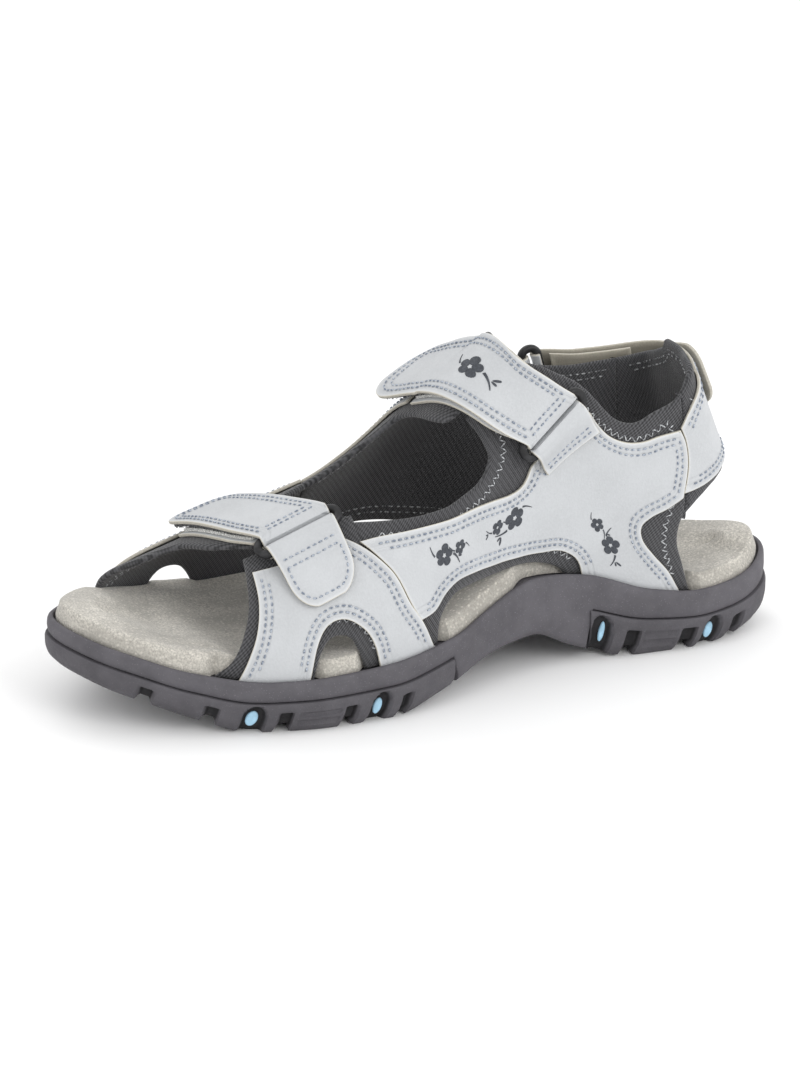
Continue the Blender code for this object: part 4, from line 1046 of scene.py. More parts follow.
def midsole_steps(side, s):
    """The midsole's cross-section, from under its middle line, up its side and in over its floor."""
    top = float(top_height(side, s))
    low = float(midsole_bottom(side, s))
    foot = float(bottom_height(side, s))
    band = float(band_top(side, s)) + 0.35
    bottom = [(FLAT_INSET, h, w) for h, w in zip(middle(midsole_bottom, s, side), INWARD)][::-1]
    steps = bottom + [(FLAT_INSET, low, 0), (9, low, 0)]
    if has_tread(s):
        steps += [(5.4, low + 0.4, 0), (4.6, band, 0), (1.6, band, 0), (0.55, band + 0.1, 0),
                  (0.25, band + 0.7, 0)]
        wall_low = band + 0.7
    else:
        wall_low = foot + 3.2
        steps += [(5.4, low, 0), (3.6, low, 0), (2.0, low + 0.45, 0), (0.9, low + 1.4, 0), (0.3, wall_low, 0)]
    for share, inset in ((0.25, 0.0), (0.5, -0.12), (0.75, -0.05)):
        steps.append((inset + 0.05, wall_low + (top - 1.5 - wall_low) * share, 0))
    steps += [(0.15, top - 1.3, 0), (0.45, top - 0.55, 0), (0.95, top - 0.12, 0), (1.5, top, 0),
              (2.0, top - 0.15, 0), (2.25, top - 0.6, 0), (2.35, top - FLOOR_DROP, 0),
              (FLAT_INSET, top - FLOOR_DROP, 0)]

    def floor(sd, f):
        return top_height(sd, f) - FLOOR_DROP

    return steps + [(FLAT_INSET, h, w) for h, w in zip(middle(floor, s, side), INWARD)]


def near_range(ranges, s, soft):
    """1 inside any of the ranges and 0 outside them, with soft sides."""
    return max(float(smooth((s - low) / soft + 0.5) * smooth((high - s) / soft + 0.5))
               for low, high in ranges)


# the heights of a tread's wall that have points, as shares of it
WALL_SHARES = (0.0, 0.04, 0.10, 0.17, 0.24, 0.3, 0.36, 0.42, 0.48, 0.54, 0.6, 0.66, 0.72, 0.78, 0.84, 0.9,
               0.96, 1.0)
WALL_FIRST = 10  # how many steps of outsole_steps come before the wall
WINDOW_MIDDLE, WINDOW_HALF = 0.52, 0.41  # a window's arch, as shares of the side's height
WINDOW_DEPTH = 2.8
GROOVE_DEPTH = 2.6
GROOVE_TOP = 0.66  # share of the side where the grooves end
LEAN = 3.2  # how far the tread's blocks lean back over the height of the side
LEAN_FADE = 9.0  # the lean goes within this distance of a tread's ends
TREAD_SHORT = 0.004  # a tread stops this share of the sole's length short of the midsole's step
RIBS = ((0.675, 0.729), (0.168, 0.219))  # the blocks that carry two long ribs
RIB_SHARES = ((0.29, 0.43), (0.53, 0.67))  # where the ribs' hollows lie on the side's height
RIB_DEPTH = 0.7
SIPES = 34  # so many fine cuts cross the sole's underside over its length
SIPE_DEPTH = 0.9


def in_groove(s, share):
    """1 in a groove between two blocks of the tread."""
    return near_range(GROOVES, s, 0.004) * float(1 - smooth((share - GROOVE_TOP) / 0.08))


def leaning(side, s):
    """How far the side of the tread leans back here."""
    a = float(run_of(side, s))
    first, last = (0, HEEL_SOLE_END - TREAD_SHORT) if s < 0.4 else (FORE_SOLE_START + TREAD_SHORT, 1)
    room = min(a - float(run_of(side, first)), float(run_of(side, last)) - a)
    return -LEAN * float(smooth(room / LEAN_FADE))


def in_window(s, share):
    """1 in the arched window of the sole's side, which is open at the bottom, and 0 outside it."""
    found = 0
    for low, high in WINDOWS:
        up = max((share - WINDOW_MIDDLE) / WINDOW_HALF, 0)
        across = (s - (low + high) / 2) / ((high - low) / 2) * 0.95
        found = max(found, float(smooth((1.12 - math.hypot(up, across)) / 0.3)))
    return found


def outsole_steps(side, s):
    """A tread's cross-section, from under its middle line, up its side and in over its top."""
    low, top = float(bottom_height(side, s)), float(band_top(side, s))
    groove = in_groove(s, 0)
    ribbed = any(first < s < last for first, last in RIBS)
    rise = GROOVE_RISE * groove

    def under(sd, f):
        return bottom_height(sd, f) + rise

    def sipe(shift):
        return SIPE_DEPTH * near_range(((0.0, 0.42),), (s * SIPES + shift) % 1.0, 0.14) if rise < 0.1 else 0

    def inside(sd, f):
        return bottom_height(sd, f) + TREAD_THICKNESS - GAP

    steps = [(FLAT_INSET, h + sipe(w * 2), w) for h, w in zip(middle(under, s, side), INWARD)][::-1]
    steps += [(inset, low + rise + sipe((inset - FLAT_INSET) / 12), 0) for inset in (FLAT_INSET, 12, 9, 7.6)]
    recessed = 3.2 + GROOVE_DEPTH * max(groove, in_window(s, 0))
    steps += [(7.0, low + rise, 0), (recessed, low + rise, 0)]
    lean = leaning(side, s)
    a = float(run_of(side, s))
    for share in WALL_SHARES:
        there = float(at_run(side, a + lean * share, FRACTION))
        under_wall = float(bottom_height(side, there))
        wall = float(band_top(side, there)) - under_wall
        slope = 1.9 * (1 - smooth(share / 0.35)) - 0.9 * smooth((share - 0.15) / 0.5)
        corner = 0.9 * bell(share, 0.05) + 0.5 * smooth((share - 0.93) / 0.07)
        cut = in_groove(s, share) * GROOVE_DEPTH
        rib = RIB_DEPTH if ribbed and any(first < share < last for first, last in RIB_SHARES) else 0
        foot = rise * (1 - smooth(share / 0.3))
        inset = slope + corner + max(cut, in_window(s, share) * WINDOW_DEPTH, rib)
        steps.append((inset, under_wall + wall * share + foot, 0, lean * share))
    steps += [(0.4, under_wall + wall, 0, lean), (3.4, top, 0), (4.2, low + TREAD_THICKNESS - GAP, 0),
              (FLAT_INSET, low + TREAD_THICKNESS - GAP, 0)]
    return steps + [(FLAT_INSET, h, w) for h, w in zip(middle(inside, s, side), INWARD)]


def sole_solid(name, node, stations, steps_of, closed, made, edge_of=None):
    """One piece of the sole, lofted through its cross-sections; edge_of is what its material reads."""
    rows = sole_rows(stations, steps_of)
    width = len(rows[0])
    faces = open_faces(len(rows), width, closed)
    if not closed:
        last = (len(rows) - 1) * width
        faces.append(tuple(range(width)) + tuple(last + k for k in range(width - 2, 0, -1)))
    edge = [edge_of(station, j) for station in stations for j in range(width)] if edge_of else None
    obj = build(name, SANDAL, np.array(rows).reshape(-1, 3), faces, [made], edge=edge, sharp=42)
    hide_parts(node)
    return obj


def side_inset(side, s):
    """How far in the footbed's edge stands: further where a strap passes."""
    a = float(run_of(side, s))
    deep = max(float(smooth((a - low) / ramp + 0.5) * smooth((high - a) / other + 0.5))
               for low, ramp, high, other in CHANNELS[side])
    return EDGE_INSET + (CHANNEL_INSET - EDGE_INSET) * deep


def bed_shape(x_share, s):
    """How far the footbed's face stands above its plain form: a heel cup, an arch pad and a toe crest."""
    heel = -1.3 * bell(s - 0.13, 0.11) * x_share
    pad = 1.3 * bell(s - 0.54, 0.07) * x_share
    ball = -1.0 * bell(s - 0.68, 0.07) * x_share
    crest = 1.4 * bell(s - 0.84, 0.035) * smooth(x_share * 1.6)
    toes = -0.5 * bell(s - 0.92, 0.03) * x_share
    return heel + pad + ball + crest + toes


BED_INSETS = (0, 0.12, 0.4, 0.9, 2.0, 3.6, 5.2, 7.2, 9.4)
BED_SLOPE = 1.3  # how far the footbed's side leans in


def cover_steps(side, s):
    """The footbed cover's cross-section, from the middle line of its face, round its rim and back below."""
    top = float(top_height(side, s))
    edge = side_inset(side, s)
    mids = middle(top_height, s, side)
    steps = []
    room = float(smooth((min(s, 1 - s) - 0.02) / 0.2))  # the middle line lies close to the rim at both ends
    for w, h in list(zip(INWARD, mids))[::-1]:
        rise = FOOTBED_FLAT + (FOOTBED_MIDDLE - FOOTBED_FLAT) * w * room
        steps.append((FLAT_INSET, h + rise + bed_shape(0.55 + 0.45 * w * room, s), w))
    steps.append((FLAT_INSET, top + FOOTBED_FLAT + bed_shape(0.55, s), 0))
    for inset in BED_INSETS[::-1]:
        share = smooth(inset / 2.4)
        crown = FOOTBED_RIM + (FOOTBED_FLAT - FOOTBED_RIM) * smooth((inset - 2.6) / 8)
        rounding = 1 - math.sqrt(max(1 - (1 - min(inset / 0.9, 1)) ** 2, 0))
        room_left = FLAT_INSET - 0.8 - edge - BED_SLOPE
        across = inset * min(room_left / BED_INSETS[-1], 1)
        height = top + crown - rounding + bed_shape(0.45 * share, s) * 0.8
        steps.append((edge + BED_SLOPE + across, height, 0))
    steps += [(edge + BED_SLOPE * 0.85, top + 3.4, 0), (edge + BED_SLOPE * 0.45, top + 2.2, 0),
              (edge + BED_SLOPE * 0.1, top + 1.0, 0), (edge - 0.1, top + 0.1, 0),
              (edge, top - FOOTBED_TUCK, 0), (edge + SUEDE, top - FOOTBED_TUCK, 0),
              (edge + BED_SLOPE + 1.0, top + 1.6, 0), (FLAT_INSET + 0.01, top + 2.2, 0)]
    return steps + [(FLAT_INSET, h + FOOTBED_MIDDLE - SUEDE - 0.9, w) for w, h in zip(INWARD, mids)]


def bed_hollow_shade(station, j):
    """Darker suede as painted shade in the footbed's hollows at the heel, the ball and the toes, and darker
    on the footbed's side.
    """
    s = station[1]
    count = len(INWARD) + 1 + len(BED_INSETS)
    if j >= count:
        return 0.55
    share = 1 - min(j / count, 1)
    # painted shade in the hollows of bed_shape: the heel cup, the ball and the toes
    hollow_shade = 0.25 * bell(s - 0.13, 0.09) + bell(s - 0.67, 0.08) + 0.6 * bell(s - 0.9, 0.03)
    return float(0.35 * hollow_shade * smooth(share * 1.4))


INSERT_SHIFT = 0.6  # the inserts sit near their windows' front edges
INSERT_MARGIN = 1.7  # left open at each end of a window
INSERT_TALL = 0.56  # an insert's height, as a share of its window's
INSERT_SIDES = 28


def lug_insert(name, node, side, low_s, high_s):
    """A domed blue insert that fills a window in the tread's side."""
    a0, a1 = sorted((float(run_of(side, low_s)), float(run_of(side, high_s))))
    mid_a, half = (a0 + a1) / 2, (a1 - a0) / 2 - INSERT_MARGIN
    s = float(at_run(side, mid_a, FRACTION))
    foot, top = float(bottom_height(side, s)), float(band_top(side, s))
    centre = foot + (top - foot) * (WINDOW_MIDDLE - 0.02)
    tall = (top - foot) * WINDOW_HALF * INSERT_TALL
    rows = []
    for inset, shrink in ((1.7, 1.0), (1.35, 1.0), (1.1, 0.93), (0.96, 0.78), (0.87, 0.5), (0.84, 0.2)):
        row = []
        for i in range(INSERT_SIDES):
            turn = 2 * math.pi * i / INSERT_SIDES
            up = math.sin(turn) * shrink
            z = centre + tall * up
            a = mid_a + INSERT_SHIFT + half * math.cos(turn) * shrink - LEAN * (z - foot) / (top - foot)
            x, y = edge_point(side, a, inset)
            row.append((x, y, z))
        rows.append(row)
    points, faces = rows_mesh(rows)
    obj = build(name, SANDAL, points, faces, [BLUE_MADE], sharp=60)
    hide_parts(node)


def tread_recess_shade(station, j):
    """1 at a step of a tread that lies in a groove or a window, where its material gets painted shade."""
    s = station[1]
    if not WALL_FIRST - 2 <= j < WALL_FIRST + len(WALL_SHARES):
        return 0.0
    share = WALL_SHARES[max(j - WALL_FIRST, 0)]
    return max(in_groove(s, share), in_window(s, share))


def make_sole():
    sole_solid("midsole_body", "midsole", side_path(0, 1, "round", 2.2), midsole_steps, True, SOLE_MADE)
    sole_solid("forefoot_tread", "forefoot_outsole", side_path(FORE_SOLE_START + TREAD_SHORT, 1, "toe", 0.8),
               outsole_steps, False, TREAD_MADE, tread_recess_shade)
    sole_solid("heel_tread", "heel_outsole", side_path(0, HEEL_SOLE_END - TREAD_SHORT, "heel", 0.8),
               outsole_steps, False, TREAD_MADE, tread_recess_shade)
    bed = sole_solid("footbed_suede_cover", "footbed_cover", side_path(0, 1, "round", 2.0), cover_steps, True,
                     SUEDE_MADE, bed_hollow_shade)
    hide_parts("footbed_core")
    for number, (low, high) in enumerate(WINDOWS, 1):
        for label, side in (("medial", 1), ("lateral", -1)):
            lug_insert(f"{label}_insert_{number}", f"{label}_lug_insert_{number}", side, low, high)



# ---- the straps that close through rings ----


ROLL_ARC = (TAB[0] + TAB[1]) / 2 - RING_LIFT  # how far the strap's middle runs for one radian round the bar
TAB_TURN = -math.pi * ROLL_ARC  # where a strap that has gone half round its bar ends


class Adjuster:
    """One ring and the strap that folds back through it.

    Lines are pairs of (run, climb) points across the strap: ring under the ring, half and far
    along the folded strap, body at the chape's far edge."""

    def __init__(self, side, ring, half, far, body, bulge=1.2):
        self.side = side
        lines = (ring, half, far, body)
        self.ring, self.half, self.far, self.body = [np.array(line, float) for line in lines]
        ends = [lifted(side, *e, RING_LIFT + bulge) for e in self.ring]
        self.ends = [ends[0][0], ends[1][0]]
        self.bar = self.ends[1] - self.ends[0]
        self.length = float(np.linalg.norm(self.bar))
        self.bar /= self.length
        normal = ends[0][1] + ends[1][1]
        normal -= self.bar * float(normal @ self.bar)
        self.normal = normal / np.linalg.norm(normal)
        self.ahead = np.cross(self.bar, self.normal)
        goal = on_form(side, *((self.half[0] + self.half[1]) / 2)) - (self.ends[0] + self.ends[1]) / 2
        if float(goal @ self.ahead) < 0:
            self.ahead = -self.ahead
        self.reach = {way: self.measure(way) for way in (1, -1)}

    def spot(self, way, t, w):
        """The form's (run, climb) at share t of the strap (or of the chape), w across."""
        t, w = np.broadcast_arrays(np.asarray(t, float), np.asarray(w, float))
        t, w = t[..., None], w[..., None]
        start = self.ring[0] + (self.ring[1] - self.ring[0]) * w
        if way < 0:
            end = self.body[0] + (self.body[1] - self.body[0]) * w
            first = RING_SPREAD / np.linalg.norm(end - start, axis=-1)[..., None]
            return start + (end - start) * (first + (1 - first) * t)
        middle = self.half[0] + (self.half[1] - self.half[0]) * w
        end = self.far[0] + (self.far[1] - self.far[0]) * w
        first = 0.5 * RING_SPREAD / np.linalg.norm(middle - start, axis=-1)[..., None]
        u = first + (1 - first) * t
        return start * (1 - u) * (1 - 2 * u) + middle * 4 * u * (1 - u) + end * u * (2 * u - 1)

    def measure(self, way):
        """Lengths along the middle of the strap, against the share t."""
        shares = np.linspace(0, 1, 25)
        spots = self.spot(way, shares, 0.5)
        points = on_form(self.side, spots[:, 0], spots[:, 1])
        steps = np.linalg.norm(np.diff(points, axis=0), axis=1)
        return shares, np.concatenate([[0], np.cumsum(steps)])

    def surface(self, way, run, w, lift):
        """Points run mm past the bar, w across, lift above the form. A negative run goes round the bar."""
        run, w, lift = np.broadcast_arrays(*[np.asarray(v, float) for v in (run, w, lift)])
        bar = self.ends[0] + (self.ends[1] - self.ends[0]) * w[:, None] + self.ahead * RING_SPREAD * way
        turn = (run / ROLL_ARC)[:, None]
        outward = self.normal * np.cos(turn) + self.ahead * way * np.sin(turn)
        rolled = bar + (lift - RING_LIFT)[:, None] * outward
        shares, lengths = self.reach[way]
        ahead = np.maximum(run, 0)
        beyond = np.maximum(ahead - lengths[-1], 0)
        t = np.interp(ahead, lengths, shares) + beyond / lengths[-1]
        spots = self.spot(way, t, w)
        p, n = lifted(self.side, spots[:, 0], spots[:, 1], 0)
        k = smooth(1 - ahead / FADE)[:, None]
        start = self.spot(way, 0, w)
        delta = bar - self.normal * RING_LIFT - on_form(self.side, start[:, 0], start[:, 1])
        n = n * (1 - k) + self.normal * k
        flat = p + delta * k + n * (lift / np.linalg.norm(n, axis=1))[:, None]
        return np.where((run < 0)[:, None], rolled, flat)

    def placer(self, way, shift=None):
        """Places flat (run, millimetres across) spots on the strap."""
        def place(spots, lift):
            more = shift(spots[:, 0]) if shift else 0
            return self.surface(way, spots[:, 0], spots[:, 1] / self.length, np.asarray(lift) + more)
        return place


ADJUSTERS = {
    "forefoot": Adjuster(1, ((212, 44.5), (187, 53)), ((228, 64), (202, 75)), ((240, 88), (215, 95)),
                         ((206, 23), (184, 30))),
    "instep": Adjuster(1, ((115, 49), (96, 66)), ((143, 80), (122, 88)), ((155, 112), (131, 120)),
                       ((104, 36), (84, 52))),
    "heel": Adjuster(-1, ((86, 47), (93, 71)), ((46, 48), (49, 75)), ((4, 54), (4, 80)),
                     ((99, 45), (107, 68))),
}


def strip_outline(adjuster, first, last, rounded=0.0, narrow=0.0):
    """A strap's flat outline in (run, millimetres across).

    Its far end is rounded, and narrow is left out along each side."""
    near, far = [], []
    stations = list(np.arange(first, last - rounded, OUTLINE_GAP)) + [last - rounded]
    if rounded:
        stations += [last - rounded + rounded * math.sin(math.pi / 2 * k / 9) for k in range(1, 10)]
    for t in stations:
        part = max((t - (last - rounded)) / rounded, 0) if rounded else 0
        squeeze = narrow + (1 - math.sqrt(max(1 - part * part * 0.96, 0))) * 0.36 * adjuster.length
        near.append((t, squeeze))
        far.append((t, adjuster.length - squeeze))
    loop = []
    corners = [np.array(p) for p in near + far[::-1]]
    for p, q in zip(corners, corners[1:] + corners[:1]):
        count = max(int(np.linalg.norm(q - p) / OUTLINE_GAP), 1)
        loop += [p + (q - p) * i / count for i in range(count)]
    kept = [loop[0]]
    for p in loop[1:]:
        if np.linalg.norm(p - kept[-1]) > 0.3:
            kept.append(p)
    return np.array(kept)


def strap_sheet(name, node, body, adjuster, way, loop, layer, materials, shift=None, sewn=None):
    """One layer of a strap; it returns what places spots on the strap."""
    place = adjuster.placer(way, shift)
    obj = laid_sheet(name, body, loop, place, layer, materials, 0.5, 0.6, SEAM_PUFF, 2.2, sewn)
    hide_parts(node)
    return place


def fine_loop(loop):
    """The same outline with close points."""
    found = []
    for p, q in zip(loop, np.roll(loop, -1, 0)):
        count = max(int(np.linalg.norm(q - p) / 0.6), 1)
        found += [p + (q - p) * i / count for i in range(count)]
    return np.array(found)


RING_SQUARE = 2.6  # 2 would give the ring's bar a round section, and more squares it


def ring_piece(name, node, adjuster, body):
    """A rounded oblong ring of moulded bar, a little thicker at its two ends."""
    middle = (adjuster.ends[0] + adjuster.ends[1]) / 2
    half, r = adjuster.length / 2 + 2.4, RING_SPREAD
    path = []
    for end in (1, -1):
        for i in range(25):
            turn = -math.pi / 2 + math.pi * i / 24
            path.append((end * (half - r + r * math.cos(turn)), end * r * math.sin(turn)))
        for i in range(1, 30):
            path.append((end * (half - r) * (1 - 2 * i / 30), end * r))
    path = np.array(path)
    ahead = np.roll(path, -1, 0) - np.roll(path, 1, 0)
    ahead /= np.linalg.norm(ahead, axis=1)[:, None]
    rows = []
    for (u, v), t in zip(path, ahead):
        centre = middle + adjuster.bar * u + adjuster.ahead * v
        outward = adjuster.bar * t[1] - adjuster.ahead * t[0]
        turns = np.arange(18) * math.pi / 9
        thick = RING_BAR * (1 + 0.16 * smooth((abs(u) - half + r + 2) / 4))
        cos, sin = np.cos(turns), np.sin(turns)
        squared = (np.abs(cos) ** RING_SQUARE + np.abs(sin) ** RING_SQUARE) ** (-1 / RING_SQUARE)
        rows.append(centre + (cos * squared * thick * 0.94)[:, None] * outward
                    + (sin * squared * thick * 0.94)[:, None] * adjuster.normal)
    points, faces = rows_mesh(rows, closed=True)
    obj = build(name, body, points, faces, [RING_MADE], sharp=60)
    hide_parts(node)


HOOK_INSETS = (0.15, 0.75, 1.5, 2.4)


def hooks(name, body, loop, place, lift, seed):
    """The short stiff hooks that show along the edges of a closing tape."""
    rng = random.Random(seed)
    groups = []
    for inset in HOOK_INSETS:
        moved = moved_in(loop, inset)
        points, normals = line_on(place, moved, lift)
        ahead = np.roll(points, -1, 0) - points
        for p, n, t in zip(points, normals, ahead):
            size = np.linalg.norm(t)
            if size < 0.2:
                continue
            t = t / size
            for _ in range(2):
                foot = p + t * rng.uniform(0, size)
                lean = t * rng.uniform(-0.25, 0.25) - n * rng.uniform(0.45, 0.8)
                line = np.array([foot, foot + lean])
                length = np.linalg.norm(lean)
                groups += thread(line, np.array([t, t]), length * 0.98, length * 0.9, 0.2, 0.05, 0.0)
    thread_object(name, body, groups, HOOK_MADE)


TAB_ROUND = 8  # how much of a tab's end is rounded
TIP_REACH = 14.0  # the last part of a strap's end that curls up
TAPE_MARGIN = 1.2  # a closing tape is this much narrower on each side than its strap
THREAD_LIFT = 0.04
INSTEP_LENGTH, INSTEP_CURL = 58, 5.0


def tip_lift(length, curl):
    """How much higher than its layer a tab of this length stands, by run, where its tip curls up."""
    def lift(run):
        return curl * np.clip((run - length + TIP_REACH) / TIP_REACH, 0, 1) ** 2
    return lift


def make_adjuster(label, tab_length, base_length, loop_span, hook_span, leaf_length, leaf_round, leaf_drop,
                  curl, leaf_rows, hook_margin=TAPE_MARGIN):
    """A ring, the tab that turns on its first bar with its tapes and base, and the chape on its other bar.

    Each span is a first and a last run along the strap. The leaf is the chape's visible face."""
    adjuster = ADJUSTERS[label]
    ring_body, tab_body = f"{label}_ring_swing_body", f"{label}_tab_body"
    curled = tip_lift(tab_length, curl)

    def settle(run):
        return -leaf_drop * smooth(run / (leaf_length * 0.8))

    ring_piece(f"{label}_ring_moulding", f"{label}_ring", adjuster, ring_body)
    loop = strip_outline(adjuster, TAB_TURN, tab_length, rounded=TAB_ROUND)
    place = strap_sheet(f"{label}_tab_leather", f"{label}_strap_tab", tab_body, adjuster, 1, loop, TAB,
                        LEATHER_SET, curled, loop[:, 0] > 1)
    sewn = fine_loop(strip_outline(adjuster, -1.0, tab_length, rounded=TAB_ROUND))
    lines = seam_lines(sewn, sewn[:, 0] > -2, place, SEAM_INSETS, TAB[1] + THREAD_LIFT)
    threads(f"{label}_tab_seams", tab_body, lines, SEAM_THREAD)
    loop = strip_outline(adjuster, *hook_span, narrow=hook_margin)
    place = strap_sheet(f"{label}_hook_tape", f"{label}_hook_patch", tab_body, adjuster, 1, loop,
                        (HOOK[0] + 0.2, HOOK[1] + 0.3), [HOOK_MADE] * 3, curled)
    hooks(f"{label}_hook_pile", tab_body, loop, place, HOOK[0] + 0.35, seed=len(label))
    loop = strip_outline(adjuster, *loop_span, narrow=TAPE_MARGIN)
    strap_sheet(f"{label}_loop_tape", f"{label}_loop_patch", SANDAL, adjuster, 1, loop,
                (LOOP[0] - 0.3, LOOP[1]), [LOOP_MADE] * 3)
    loop = strip_outline(adjuster, BASE_START, base_length)
    strap_sheet(f"{label}_base_leather", f"{label}_strap_base", SANDAL, adjuster, 1, loop, BASE, LEATHER_SET)
    loop = strip_outline(adjuster, TAB_TURN, leaf_length, rounded=leaf_round)
    place = strap_sheet(f"{label}_chape_leather", f"{label}_ring_chape", SANDAL, adjuster, -1, loop, TAB,
                        LEATHER_SET, settle)
    lines = []
    for run in leaf_rows:
        line = np.array([(run, x) for x in np.linspace(1.6, adjuster.length - 1.6, 60)])
        lines.append(line_on(place, line, TAB[1] + THREAD_LIFT))
    if leaf_round:
        fine = fine_loop(strip_outline(adjuster, 0, leaf_length, rounded=leaf_round))
        beyond_rows = fine[:, 0] > leaf_rows[-1] - 1
        lines += seam_lines(fine, beyond_rows, place, SEAM_INSETS[:1], TAB[1] + THREAD_LIFT)
    threads(f"{label}_chape_seams", SANDAL, lines, SEAM_THREAD)


def make_adjusters():
    make_adjuster("forefoot", 46, 38, (5, 36), (8, 40), 20, 9, 2.2, 1.5, (5.5, 7.6))
    make_adjuster("instep", INSTEP_LENGTH, 42, (5, 40), (8, 52), 12, 0, 3.0, INSTEP_CURL, (7.5, 9.7))
    make_adjuster("heel", 58, 32, (5, 31), (8, 52), 11, 0, 3.0, 1.5, (6.8, 8.9), hook_margin=4.6)


# ---- printed sprigs of the builder's own design ----


def petal(centre, turn, reach, width):
    """A drop-shaped petal that starts a little off the centre."""
    loop = []
    for i in range(14):
        t = 2 * math.pi * i / 14
        x = reach * (0.58 - 0.42 * math.cos(t))
        y = width / 2 * math.sin(t) * (0.75 + 0.35 * (x / reach))
        loop.append((centre[0] + x * math.cos(turn) - y * math.sin(turn),
                     centre[1] + x * math.sin(turn) + y * math.cos(turn)))
    return loop


def flower(centre, size, turn):
    """Five petals."""
    return [petal(centre, turn + k * 2 * math.pi / 5, size * (0.94 + 0.12 * (k % 2)), size * 0.8)
            for k in range(5)]


def leaf_pair(centre, size, turn):
    """Two thin leaves from one point."""
    return [petal(centre, turn, size, size * 0.3), petal(centre, turn + 0.9, size * 0.7, size * 0.26)]


def stem(start, bend, end, width):
    """A thin curved stroke."""
    start, bend, end = [np.array(p, float) for p in (start, bend, end)]
    t = np.linspace(0, 1, 13)[:, None]
    p = start * (1 - t) ** 2 + 2 * bend * t * (1 - t) + end * t * t
    d = np.gradient(p, axis=0)
    n = np.stack([-d[:, 1], d[:, 0]], 1) / np.linalg.norm(d, axis=1)[:, None]
    half = width / 2 * (1 - 0.7 * t)
    return [tuple(q) for q in p + n * half] + [tuple(q) for q in (p - n * half)[::-1]]


def printed(name, body, loops, place, lift):
    """Thin closed marks that lie on a surface."""
    points, faces = [], []
    for loop in loops:
        loop = np.array(loop)
        n, base = len(loop), len(points)
        points += list(place(loop, lift + 0.10)) + list(place(loop, lift - 0.12))
        middle = loop.mean(0)[None, :]
        points += [place(middle, lift + 0.12)[0], place(middle, lift - 0.12)[0]]
        for i in range(n):
            j = (i + 1) % n
            faces += [(base + i, base + j, base + 2 * n), (base + n + j, base + n + i, base + 2 * n + 1),
                      (base + i, base + n + i, base + n + j, base + j)]
    obj = build(name, body, np.array(points), faces, [PRINT_MADE], sharp=60)


def strokes(centre, size, turn):
    """One sprig: a flower, two stems and their leaves."""
    c = np.array(centre, float)

    def out(angle, reach):
        return c + reach * size * np.array((math.cos(turn + angle), math.sin(turn + angle)))

    loops = flower(centre, size, turn)
    loops.append(stem(out(2.8, 1.05), out(3.0, 1.6), out(3.3, 2.2), size * 0.2))
    loops.append(stem(out(-0.3, 1.05), out(-0.1, 1.4), out(0.2, 1.9), size * 0.16))
    loops += leaf_pair(out(3.0, 1.65), size * 0.75, turn + 2.2)
    return loops


# (run, climb), size and turn of each sprig on the inner quarter
SPRIGS = (((151.5, 31), 3.7, 0.5), ((119.5, 26.5), 4.0, 2.8), ((81.5, 14.0), 3.5, 1.4),
          ((127, 27.5), 2.5, 3.3), ((144.5, 31), 2.4, 3.4), ((86.5, 20.5), 2.5, 0.9))
PRINT_LIFT = 0.02


def make_prints():
    loops = []
    for centre, size, turn in SPRIGS:
        loops += strokes(centre, size, turn)
    printed("medial_quarter_print", SANDAL, loops, on_side(1), LEATHER[1] + PRINT_LIFT)
    adjuster = ADJUSTERS["instep"]
    place = adjuster.placer(1, tip_lift(INSTEP_LENGTH, INSTEP_CURL))
    loops = strokes((24, adjuster.length / 2), 3.6, 0.3)
    printed("instep_tab_print", "instep_tab_body", loops, place, TAB[1] + PRINT_LIFT)


# ---- what stands round the sandal ----


FLOOR_HALF = 9.0


def area_light(name, at, aim, size, power):
    """A round lamp that points at a spot; metres and watts."""
    made = bpy.data.lights.new(name, "AREA")
    made.shape = "DISK"
    made.size = size
    made.energy = power
    light = bpy.data.objects.new(name, made)
    light.location = at
    light.rotation_euler = (Vector(aim) - Vector(at)).to_track_quat("-Z", "Y").to_euler()
    bpy.context.scene.collection.objects.link(light)


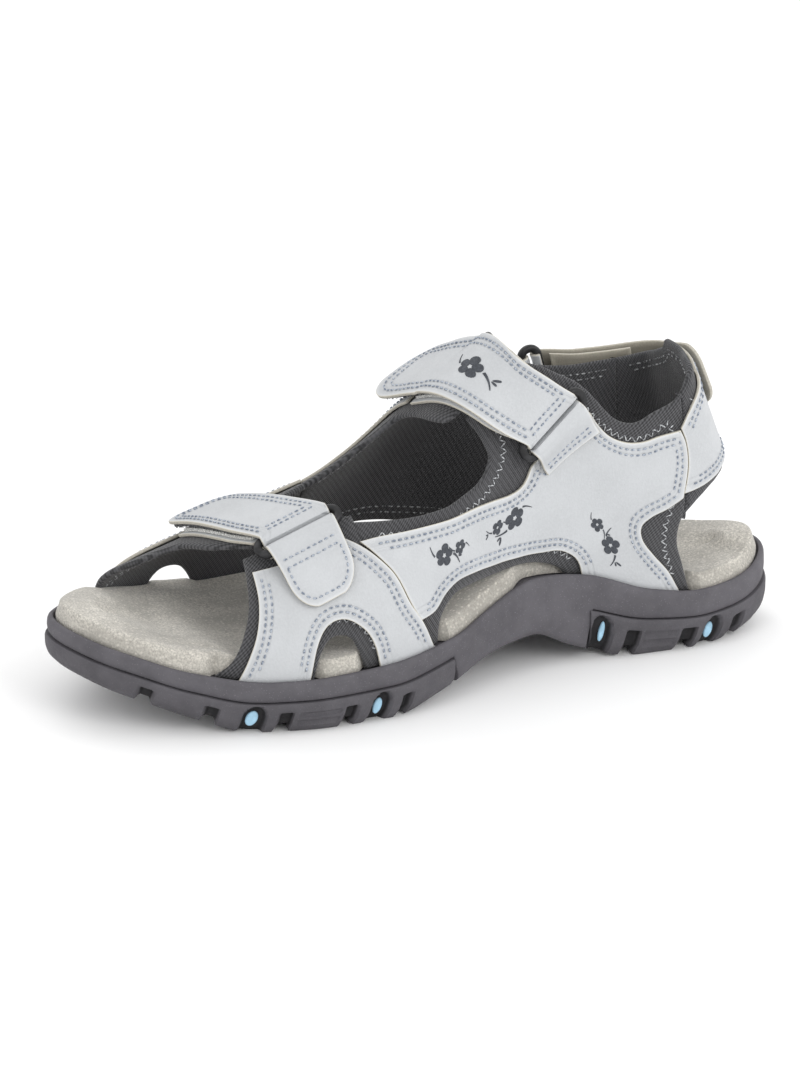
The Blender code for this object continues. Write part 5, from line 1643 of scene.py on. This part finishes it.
def make_stage():
    world = bpy.data.worlds.new("pale_room")
    bpy.context.scene.world = world
    world.use_nodes = True
    back = world.node_tree.nodes["Background"]
    back.inputs["Color"].default_value = (1, 1, 1, 1)
    back.inputs["Strength"].default_value = 1.0
    corners = [(x * FLOOR_HALF, y * FLOOR_HALF, 0) for x, y in ((-1, -1), (1, -1), (1, 1), (-1, 1))]
    mesh = bpy.data.meshes.new("floor")
    mesh.from_pydata(corners, [], [(0, 1, 2, 3)])
    floor = bpy.data.objects.new("floor", mesh)
    p = Paint("pale_floor", 0.6, specular=0.2)
    p.colour(p.mix(p.noise(60), (0.93, 0.93, 0.93), (0.95, 0.95, 0.95)))
    mesh.materials.append(p.made)
    bpy.context.scene.collection.objects.link(floor)
    area_light("key", (1.15, 0.45, 0.85), (0, 0, 0.03), 0.8, 6)
    area_light("heel_light", (0.3, 1.2, 0.7), (0, 0, 0.04), 0.9, 2.5)
    area_light("fill", (0.7, -0.9, 0.7), (0, 0, 0.04), 0.9, 1.5)
    area_light("rim", (-0.9, -0.2, 0.9), (0, 0, 0.05), 0.8, 2)


VIEW_AZIMUTH, VIEW_ELEVATION = 70.8, 20.9  # degrees
VIEW_DISTANCE = 1.3  # metres
VIEW_TARGET = (-0.0073, -0.0037, 0.045)
LENS = 124.6  # on a sensor 36 mm wide


def make_camera():
    a, e = math.radians(VIEW_AZIMUTH), math.radians(VIEW_ELEVATION)
    back = Vector((math.sin(a) * math.cos(e), -math.cos(a) * math.cos(e), math.sin(e)))
    made = bpy.data.cameras.new("photo_view")
    made.lens = LENS
    made.sensor_width = 36
    made.clip_end = 20
    camera = bpy.data.objects.new("photo_view", made)
    camera.location = Vector(VIEW_TARGET) + back * VIEW_DISTANCE
    camera.rotation_euler = back.to_track_quat("Z", "Y").to_euler()
    bpy.context.scene.collection.objects.link(camera)
    bpy.context.scene.camera = camera
    bpy.context.scene.view_settings.view_transform = "Standard"


make_sole()
make_upper()
make_adjusters()
make_prints()
make_stage()
make_camera()
